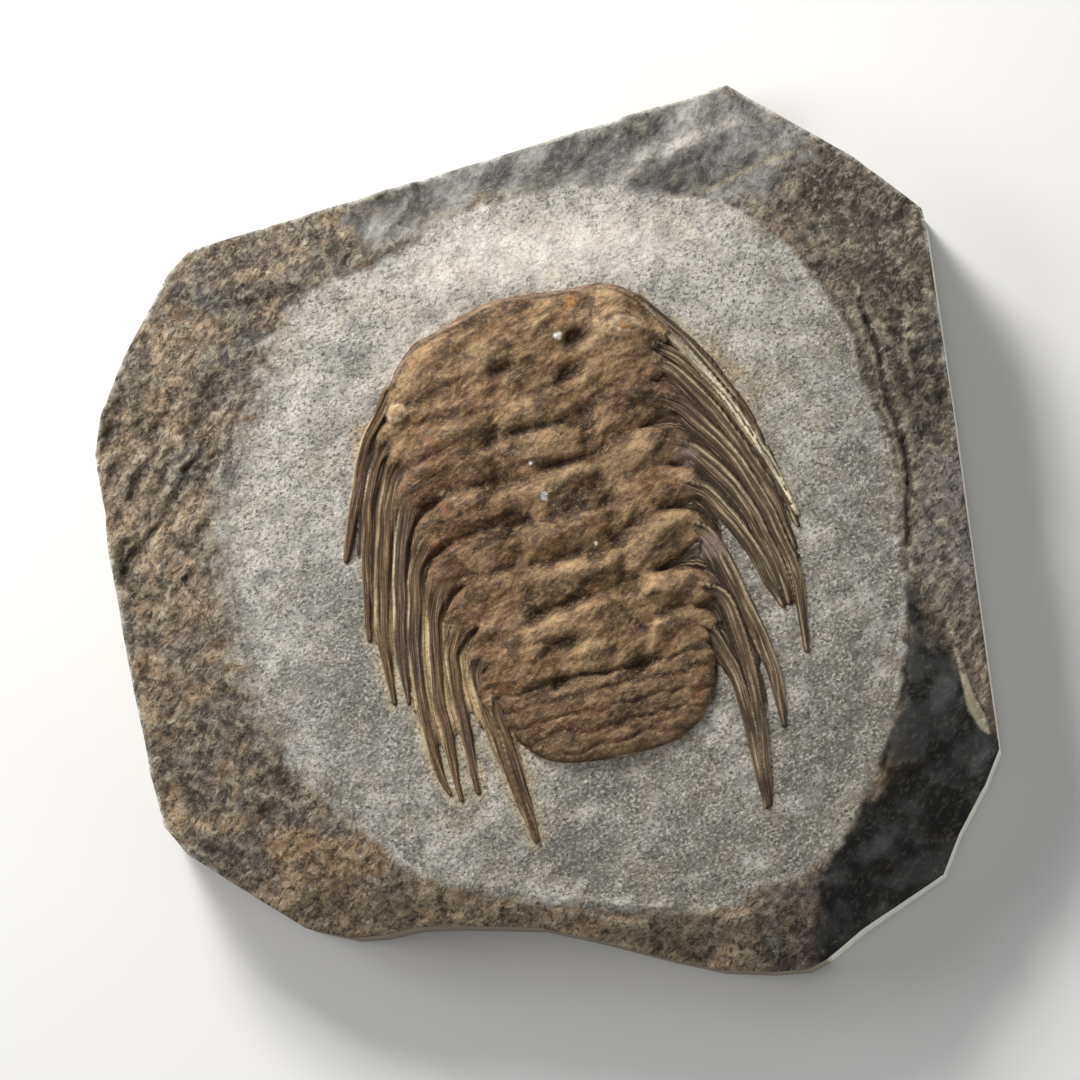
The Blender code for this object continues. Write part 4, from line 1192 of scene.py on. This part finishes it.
def band_coat(x, y, mottle):
    """The band along the right edge, grey and then browner downwards."""
    band = Coat(x, y, SLATE_PALE).add(RIM_BROWN, 0.35 + 0.5 * ramp(y, -6, -26))
    return band.add(RIM_DARK, 0.45 * ease(0.1 + mottle))


def rim_coat(x, y, mottle, slate, black):
    """The broken rim: brown and grey with gold on the left, its patches, the slate, dark facet and band."""
    right = ramp(x, 46, 62) * ramp(y, -30, -10)
    rim = Coat(x, y, RIM_BROWN).add(RIM_GREY, ease(0.35 + 0.9 * mottle))
    rim.add(RIM_GOLD, 0.75 * mottled(x, y, 6, 5, 411, 2.6, -0.2) * ramp(x, -25, -55))
    rim.add(GREY_MAUVE, 0.85 * mottled(x, y, 11, 5, 423, 2.8))
    rim.add(RIM_DARK, 0.6 * mottled(x, y, 6, 5, 421, 2.4, -0.1))
    rim.add(CREAM_ROCK, 0.55 * mottled(x, y, 3.4, 4, 424, 2.6, -0.9))
    rim.add(RIM_GREY, 0.5 * right)
    rim.add(RIM_DARK, 0.48 * right)
    rim.add(CREAM_ROCK, 0.7 * mottled(x, y, 3, 3, 425, 2.4, -1.0) * right)
    rim.add(RIM_GOLD, 0.25 * ramp(x, -62, -74) * ease(1.6 - np.abs(y - 6) / 22))
    rim.add_patches(RIM_DARK, 0.6, BROWN_PATCHES, 521)
    rim.add_patches(RIM_CREAM, 0.7, GOLD_PATCHES, 541)
    rim.add(RIM_GOLD, 0.35 * ramp(y, -66, -74) * ramp(x, 48, 38))
    rim.add_patches(GREY_MAUVE, 0.85, MAUVE_PATCHES, 437)
    rim.add(slate_coat(x, y), slate)
    rim.add_patches(RUST, 0.6, RUST_PATCHES, 441)
    rim.add_patches(BLUE_GREY, 0.8, BLUE_PATCHES, 451)
    rim.add(dark_coat(x, y), black)
    rim.add(band_coat(x, y, mottle), 0.9 * ease(depth_in(x, y, OUTER_BAND) / 1.2))
    cream = bell(distance_to_line(x, y, CREAM_LINE), 0.9) * mottled(x, y, 2.2, 2, 471, 2, 0.3)
    # Painted highlight: the sliver on the lit step between the dark facet and the band.
    sliver = ease(0.6 + depth_in(x, y, CREAM_SLIVER) / 0.4)
    return rim.add(CREAM_ROCK, np.maximum(cream, 0.9 * sliver))


def zone_coat(x, y, mottle, bright, fossil):
    """The worked-over zone: white above the head and paler to the upper left, both partly painted light,
    smeared and smudged, and stained beside the fossil.
    """
    # Paler towards the upper left: partly the zone's own tone, partly painted light falling from that side.
    zone = Coat(x, y, ZONE_GREY).add(ZONE_PALE, ease(0.64 + 0.6 * mottle + (y - x) / 160))
    zone.add_patches(ZONE_PALE, 0.75, PALE_PATCHES, 481)
    zone.add(ZONE_WHITE, np.clip(0.9 * bright, 0, 0.9))
    moved = x + 1.2 * fractal(x, y, 8, 2, 481)
    smears = mottled(*turned(moved, y, 35, 2.2), 5.5, 4, 482, 2.6, -0.45)
    zone.add(ZONE_WHITE, (0.35 + 0.3 * ramp(x - y, 20, 80)) * smears)
    smudges = mottled(*turned(moved, y, 35, 1.4), 3.6, 4, 484, 2.6, -0.6)
    # Dark smudges grow stronger towards the lower right, partly painted shade on the side away from the
    # light.
    zone.add(ZONE_DARK, (0.35 + 0.2 * ramp(x - y, 0, 60)) * smudges * (1 - 0.6 * np.clip(bright, 0, 1)))
    zone.add(ZONE_STAIN, 0.2 * mottled(x, y, 8, 3, 486, 1.8, -0.1))
    # Painted highlight: the pale line by the zone's left border.
    zone.add(ZONE_PALE, 0.7 * bell(distance_to_line(x, y, ZONE_LINE), 0.35))
    zone.add_patches(ZONE_DARK, 0.45, DULL_PATCHES, 491)
    beside = ease(1 + fossil / 1.6) * mottled(x, y, 6, 3, 501, 0.9, 0.1)
    stained = sum(patch(x, y, *place, 505 + index) for index, place in enumerate(STAINS))
    zone.add(ZONE_STAIN, np.clip(0.55 * beside + 0.8 * stained, 0, 0.85))
    zone.add(STAIN_CREAM, 0.8 * ramp(y, -14, -26) * ramp(x, 6, 0) * ease(1 + fossil / 2.6))
    zone.add_patches(STAIN_CREAM, 0.8, CREAM_STAINS, 507)
    return zone


def rock_colours(x, y, into_zone, to_edge, hollow, fossil, slate):
    """The rock's colour at each point of its top, its share of the worked-over zone and how grainy it is."""
    mottle = fractal(x, y, 7, 4, 401)
    black = region(x, y, BLACK_REGION, 1.3, 461)
    hollow = hollow * ease(to_edge / 1.5)
    rim = rim_coat(x, y, mottle, slate, black)
    # Painted highlight in cream on the rim's crests, and painted shade in its hollows.
    rim.add(CREAM_ROCK, 0.5 * ease(-hollow / 0.3) * (1 - black) * (1 - 0.6 * slate))
    rim.add(RIM_DARK, 0.7 * ease(hollow / 0.33) * (1 - 0.4 * slate))
    # Painted highlight: a pale line along the block's upper left edges, which face the light.
    edge_highlight = ease(1 - to_edge / 0.9) * ease(0.7 + noise(x, y, 5, 475)) * ramp(y - 0.6 * x, -40, -20)
    rim.add(SAWN_SIDE_AND_HIGHLIGHT, 0.75 * edge_highlight)
    # White above and beside the head: partly the zone's whiter colour, partly painted light where its crown
    # faces the lamp.
    bright = patch(x, y, *BRIGHT_PATCHES[0], 487) + 0.7 * patch(x, y, *BRIGHT_PATCHES[1], 488)
    # Painted shade in the zone's hollows.
    zone = zone_coat(x, y, mottle, bright, fossil).add(ZONE_DARK, 0.5 * ease(hollow / 0.25))
    width = border_width(x, y)
    share = ease(0.5 + (into_zone + 0.4 * width * fractal(x, y, 3.0, 4, 511)) / width)
    grain = np.maximum(1 - 0.5 * np.clip(bright, 0, 1) * share, 0.35)
    grain *= 1 - (0.78 * black + 0.45 * slate) * (1 - share)
    return rim.add(zone, share).colours, share, grain


def fossil_reach(x, y):
    """Roughly how far inside the fossil's outline a point is, in millimetres, and negative outside it."""
    outlines = [smooth_points(outline, 2.0, closed=True) for outline in (HEAD_OUTLINE, TAIL_OUTLINE)]
    reach = np.maximum(*(depth_in(x, y, outline) for outline in outlines))
    for stations in all_strips():
        reach = np.maximum(reach, -strip_places(x, y, stations[::2] + stations[-1:], 6.0)[0])
    return reach


def zone_depth(x, y):
    """How far inside the worked-over zone a point is, and negative outside it."""
    return depth_in(x, y, smooth_points(ZONE_OUTLINE, ZONE_STEP, closed=True))


def rock_grid():
    """Places and triangles of the rock's top, in meshes as fine as the rim, the zone, the rock beside the
    fossil and the rock hidden by it need."""
    outline = straight_points(SLAB_OUTLINE, EDGE_SPACING)
    corners = [Vector(point) for point in outline]
    for index, spacing in enumerate((RIM_SPACING, ZONE_SPACING, BESIDE_SPACING, HIDDEN_SPACING)):
        x, y = shaken_grid(outline, spacing, GRID_SEED + index)
        in_zone, fossil = zone_depth(x, y) >= RIM_REACH, fossil_reach(x, y)
        far, hidden = fossil < -BESIDE_REACH, fossil >= HIDDEN_DEPTH
        wanted = [~in_zone, in_zone & far, in_zone & ~far & ~hidden, hidden][index]
        wanted &= depth_in(x, y, outline) > 0.5 * spacing
        corners += [Vector(point) for point in zip(x[wanted], y[wanted])]
    face = list(range(len(outline)))
    flat, _, faces, _, _, _ = geometry.delaunay_2d_cdt(corners, [], [face], INSIDE_ONLY, MERGE_DISTANCE)
    x, y = np.array([tuple(point) for point in flat]).T
    return x, y, np.array(faces)


def sawn_sides(points, faces):
    """Upright sides in rows below the border of the top, and one flat underside."""
    border = border_edges(faces)
    following = dict(border.tolist())
    loop = [int(border[0, 0])]
    while following[loop[-1]] != loop[0]:
        loop.append(following[loop[-1]])
    top, count = points[loop], len(loop)
    rings, rows, walls = [loop], [], []
    for index in range(SIDE_ROWS):
        share = ((index + 1) / SIDE_ROWS) ** 1.5
        row = top.copy()
        row[:, 2] = top[:, 2] * (1 - share)
        inwards = 0.10 * np.abs(noise(np.arange(count) * 0.5, np.full(count, 9.0 * share), 2.2, 701))
        if share < 1:
            row[:, :2] *= (1 - inwards / np.hypot(top[:, 0], top[:, 1]))[:, None]
        rows.append(row)
        start = len(points) + index * count
        rings.append(list(range(start, start + count)))
    for upper, lower in zip(rings, rings[1:]):
        walls += zip(upper, lower, lower[1:] + lower[:1], upper[1:] + upper[:1])
    below = np.concatenate(rows)
    from_top = np.tile(top[:, 2], SIDE_ROWS) - below[:, 2]
    return np.concatenate([points, below]), walls + [rings[-1][::-1]], from_top


def build_rock(material):
    """The block's fine surface: the top with its relief, the sides and the flat underside."""
    x, y, faces = rock_grid()
    into_zone, fossil = zone_depth(x, y), fossil_reach(x, y)
    to_edge = distance_to_line(x, y, SLAB_OUTLINE, closed=True)
    slate = region(x, y, SLATE_REGION, 2.5, 431)
    edges = mesh_edges(faces)
    height = slab_height(x, y, into_zone)
    soft, crisp = (relax(height, edges, rounds) for rounds in (RIM_ROUNDS, SLATE_ROUNDS))
    height = np.where(into_zone > 1, height, soft + (crisp - soft) * slate)
    height += rock_relief(x, y, into_zone, to_edge, slate)
    height -= UNDER_FOSSIL_DEPTH * ramp(fossil, 0.3, 1.3)
    hollow = relax(height, edges, ROCK_HOLLOW_ROUNDS) - height
    colours, pale, grain = rock_colours(x, y, into_zone, to_edge, hollow, fossil, slate)
    points, closing, from_top = sawn_sides(np.stack([x, y, height], axis=1), faces)
    item = new_piece("worked_rock", points, [*faces, *closing], material)
    side_x, side_y = points[len(x):, :2].T
    # The pale sawn right side: partly its own pale colour, partly painted light.
    sawn = ease((side_x - 0.6 * np.abs(side_y) - 3.5) / 2 + 0.6 * ramp(side_y, 40, 50))
    sides = Coat(side_x, side_y, RIM_BROWN).add(ZONE_GREY, 0.45).add(SAWN_SIDE_AND_HIGHLIGHT, sawn)
    sides.add(RIM_GREY, 0.3 * ease(1 - from_top / 0.6))
    give_values(item, "tint", colours, sides.colours)
    give_values(item, "pale", pale, np.full(len(side_x), SIDE_PALE))
    give_values(item, "grain", grain, np.full(len(side_x), SIDE_GRAIN))
    return item


class Nodes:
    """Short ways to add and join shader nodes."""

    def __init__(self, name):
        self.material = bpy.data.materials.new(name)
        self.material.use_nodes = True
        self.tree = self.material.node_tree
        self.shader = self.tree.nodes["Principled BSDF"]
        self.place = self.add("ShaderNodeTexCoord").outputs["Object"]

    def add(self, kind, **inputs):
        """A new node, with what its inputs get by name. An underscore stands for a space."""
        node = self.tree.nodes.new(kind)
        for name, source in inputs.items():
            self.join(source, node.inputs[name.replace("_", " ")])
        return node

    def join(self, source, target):
        """Joins a socket to an input, or gives the input a value."""
        if isinstance(source, bpy.types.NodeSocket):
            self.tree.links.new(source, target)
        else:
            target.default_value = source

    def attribute(self, name, output="Fac"):
        """A number that the mesh holds for each point, or a colour with the output Color."""
        node = self.add("ShaderNodeAttribute")
        node.attribute_name = name
        return node.outputs[output]

    def noise(self, size, detail=3.0, roughness=0.55, stretch=None, turn=0.0, swirl=0.0):
        """Noise whose lumps are about this many millimetres across, or longer along a turned direction."""
        source = self.place
        if stretch:
            mapping = self.add("ShaderNodeMapping", Vector=source)
            mapping.vector_type = "TEXTURE"
            mapping.inputs["Rotation"].default_value = (0, 0, math.radians(turn))
            mapping.inputs["Scale"].default_value = (stretch, 1, 1)
            source = mapping.outputs["Vector"]
        values = {"Scale": 1 / (size * MM), "Detail": detail, "Roughness": roughness, "Distortion": swirl}
        return self.add("ShaderNodeTexNoise", Vector=source, **values).outputs["Fac"]

    def fibres(self, along, across, length, width):
        """Noise of long fibres in a strip's own places along and across, in millimetres."""
        x, y = self.math("DIVIDE", along, length), self.math("DIVIDE", across, width)
        places = self.add("ShaderNodeCombineXYZ", X=x, Y=y).outputs["Vector"]
        return self.add("ShaderNodeTexNoise", Vector=places, Scale=1.0, Detail=3.0).outputs["Fac"]

    def math(self, operation, *values):
        """A sum, product or quotient of sockets and numbers."""
        node = self.add("ShaderNodeMath")
        node.operation = operation
        for value, target in zip(values, node.inputs):
            self.join(value, target)
        return node.outputs["Value"]

    def spread(self, value, low, high, to_low=0.0, to_high=1.0):
        """Maps values from low to high onto to_low to to_high, and keeps them there."""
        ends = {"From_Min": low, "From_Max": high, "To_Min": to_low, "To_Max": to_high}
        return self.add("ShaderNodeMapRange", Value=value, **ends).outputs["Result"]

    def mix(self, share, first, second, kind="RGBA"):
        """Blends two colours, or two directions with the kind VECTOR."""
        node = self.add("ShaderNodeMix")
        node.data_type = kind
        self.join(share, node.inputs["Factor"])
        targets = [socket for socket in node.inputs if socket.type == kind][-2:]
        for value, target in zip((first, second), targets):
            self.join((*value, 1.0) if isinstance(value, tuple) else value, target)
        return next(socket for socket in node.outputs if socket.type == kind)

    def fleck(self, base, colour, strength, pattern, start, full, share=None):
        """Blends in a colour, from nothing at the pattern's start value to its strength at the full one."""
        amount = self.spread(pattern, start, full, 0.0, strength)
        if share is not None:
            amount = self.math("MULTIPLY", amount, share)
        return self.mix(amount, base, colour)

    def bump(self, height, depth):
        """Bump whose height runs from 0 to this many millimetres."""
        return self.add("ShaderNodeBump", Height=height, Distance=depth * MM).outputs["Normal"]

    def finish(self, colour, roughness, normal):
        """The material, with these joined to its shader."""
        values = {"Base Color": colour, "Roughness": roughness, "Normal": normal}
        for name, source in {**values, "Specular IOR Level": SPECULAR}.items():
            self.join(source, self.shader.inputs[name])
        return self.material


def rock_material():
    """Dark and pale grains in the worked-over zone, and felted dark and pale flecks on the broken rim."""
    nodes = Nodes("rock")
    tint = nodes.attribute("tint", "Color")
    pale, grain = nodes.attribute("pale"), nodes.attribute("grain")
    grains = nodes.noise(0.7, 4.0, 0.8, 1.2, 32, swirl=0.2)
    light_grains = nodes.noise(0.6, 4.0, 0.75, 1.2, 32, swirl=0.2)
    zone = nodes.fleck(tint, (0.045, 0.045, 0.042), 0.9, grains, 0.52, 0.38, grain)
    zone = nodes.fleck(zone, (0.80, 0.78, 0.74), 0.75, light_grains, 0.50, 0.64, grain)
    zone = nodes.fleck(zone, (0.12, 0.12, 0.11), 0.42, nodes.noise(2.6, 4.0, 0.6, 1.5, 35), 0.56, 0.36, grain)
    felt = nodes.noise(1.3, 6.0, 0.76, 1.7, 50, swirl=1.1)
    flecks = nodes.noise(1.0, 6.0, 0.76, 1.7, 50, swirl=0.6)
    rim = nodes.fleck(tint, (0.024, 0.021, 0.018), 0.9, felt, 0.56, 0.40, grain)
    rim = nodes.fleck(rim, nodes.mix(0.55, tint, (0.66, 0.60, 0.50)), 0.8, flecks, 0.51, 0.65, grain)
    fine = nodes.noise(0.6, 4.0, 0.75)
    coarse = nodes.noise(1.6, 5.0, 0.7, swirl=1.2)
    rough = nodes.math("ADD", fine, nodes.math("MULTIPLY", coarse, nodes.spread(pale, 0, 1, 1.6, 0.7)))
    normal = nodes.bump(nodes.math("MULTIPLY", rough, nodes.spread(grain, 0.2, 1.0, 0.5, 1.0)), 0.5)
    return nodes.finish(nodes.mix(pale, rim, zone), nodes.spread(coarse, 0.3, 0.7, 0.75, 0.95), normal)


def shell_material():
    """Matt ochre shell, mottled on the body and fibrous along the spines."""
    nodes = Nodes("fossil_shell")
    tint = nodes.attribute("tint", "Color")
    on_spine = nodes.attribute("spine")
    fibres = nodes.fibres(nodes.attribute("along"), nodes.attribute("across"), 9.0, 0.34)
    strokes = nodes.noise(0.6, 5.0, 0.74, 2.0, 32, swirl=1.0)
    soft = nodes.noise(3.6, 8.0, 0.68, 1.6, 30, swirl=0.6)
    fine = nodes.noise(0.5, 5.0, 0.72)
    coarse = nodes.noise(1.7, 5.0, 0.7, 1.8, 40)
    body = nodes.fleck(tint, (0.028, 0.017, 0.010), 0.72, soft, 0.53, 0.39)
    body = nodes.fleck(body, (0.50, 0.34, 0.18), 0.42, soft, 0.52, 0.66)
    body = nodes.fleck(body, (0.026, 0.017, 0.010), 0.5, strokes, 0.52, 0.39)
    body = nodes.fleck(body, (0.56, 0.40, 0.23), 0.42, strokes, 0.52, 0.65)
    body = nodes.fleck(body, (0.32, 0.12, 0.06), 0.4, nodes.noise(5.0, 4.0, 0.65), 0.60, 0.72)
    spines = nodes.fleck(tint, (0.024, 0.016, 0.012), 0.7, fibres, 0.52, 0.36)
    spines = nodes.fleck(spines, nodes.mix(0.5, tint, (0.62, 0.48, 0.28)), 0.9, fibres, 0.54, 0.68)
    spines = nodes.fleck(spines, (0.03, 0.022, 0.016), 0.5, nodes.noise(0.7, 5.0, 0.8), 0.54, 0.4)
    rough = nodes.math("ADD", nodes.math("MULTIPLY", fine, 0.4), nodes.math("MULTIPLY", strokes, 0.55))
    crumbly = nodes.bump(nodes.math("ADD", rough, coarse), 0.42)
    fibrous = nodes.bump(nodes.math("ADD", fibres, nodes.math("MULTIPLY", fine, 0.3)), 0.35)
    normal = nodes.mix(on_spine, crumbly, fibrous, "VECTOR")
    return nodes.finish(nodes.mix(on_spine, body, spines), nodes.spread(fine, 0.3, 0.7, 0.62, 0.85), normal)


def floor_material():
    """Pale and nearly even."""
    nodes = Nodes("pale_floor")
    colour = nodes.mix(nodes.noise(400, 2.0), (0.80, 0.80, 0.80), (0.84, 0.84, 0.84))
    nodes.join(colour, nodes.shader.inputs["Base Color"])
    nodes.shader.inputs["Roughness"].default_value = 0.6
    return nodes.material


def add_floor():
    """A wide floor just below the block."""
    data = bpy.data.meshes.new("floor")
    corners = [(x * FLOOR_REACH, y * FLOOR_REACH, 0) for x, y in ((-1, -1), (1, -1), (1, 1), (-1, 1))]
    data.from_pydata(corners, [], [(0, 1, 2, 3)])
    data.materials.append(floor_material())
    floor = link("floor", data)
    floor.location.z = -FLOOR_GAP * MM


def aim_at(item, target):
    """Turns a camera or lamp to face a point, with +Y up in its picture."""
    forward = (Vector(target) * MM - item.location).normalized()
    right = forward.cross(Vector((0, 1, 0))).normalized()
    up = right.cross(forward)
    item.rotation_mode = "QUATERNION"
    item.rotation_quaternion = Matrix((right, up, -forward)).transposed().to_quaternion()


def add_camera():
    """The camera, far off and nearly straight above the block, a little towards its lower right."""
    data = bpy.data.cameras.new("camera")
    data.sensor_width = SENSOR_WIDTH
    data.lens = SENSOR_WIDTH * CAMERA_DISTANCE / PICTURE_WIDTH
    data.clip_end = 30.0
    camera = link("camera", data)
    offset = Vector((math.tan(LEAN_RIGHT), -math.tan(LEAN_DOWN), 1)).normalized() * CAMERA_DISTANCE
    camera.location = (Vector(AIM) + offset) * MM
    aim_at(camera, AIM)
    bpy.context.scene.camera = camera


def add_light():
    """Three square lamps and an even white world."""
    for name, direction, elevation, distance, size, power, colour in LAMPS:
        data = bpy.data.lights.new(name, "AREA")
        data.size = size * MM
        data.energy = power
        data.color = colour
        lamp = link(name, data)
        turn, rise = math.radians(direction), math.radians(elevation)
        away = Vector((math.cos(turn) * math.cos(rise), math.sin(turn) * math.cos(rise), math.sin(rise)))
        lamp.location = away * distance * MM
        aim_at(lamp, LAMP_AIM)
    world = bpy.data.worlds.new("studio")
    world.use_nodes = True
    background = world.node_tree.nodes["Background"]
    background.inputs["Color"].default_value = (1.0, 1.0, 1.0, 1.0)
    background.inputs["Strength"].default_value = WORLD_STRENGTH
    bpy.context.scene.world = world
    bpy.context.scene.view_settings.view_transform = "Standard"


def main():
    add_camera()
    add_light()
    add_floor()
    rock = build_rock(rock_material())
    shell = build_shell(shell_material())
    for piece, node, slot in ((rock, "matrix_slab", "rock"), (shell, "trilobite", "fossil_shell")):
        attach(piece, "root")
        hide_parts(node)


main()
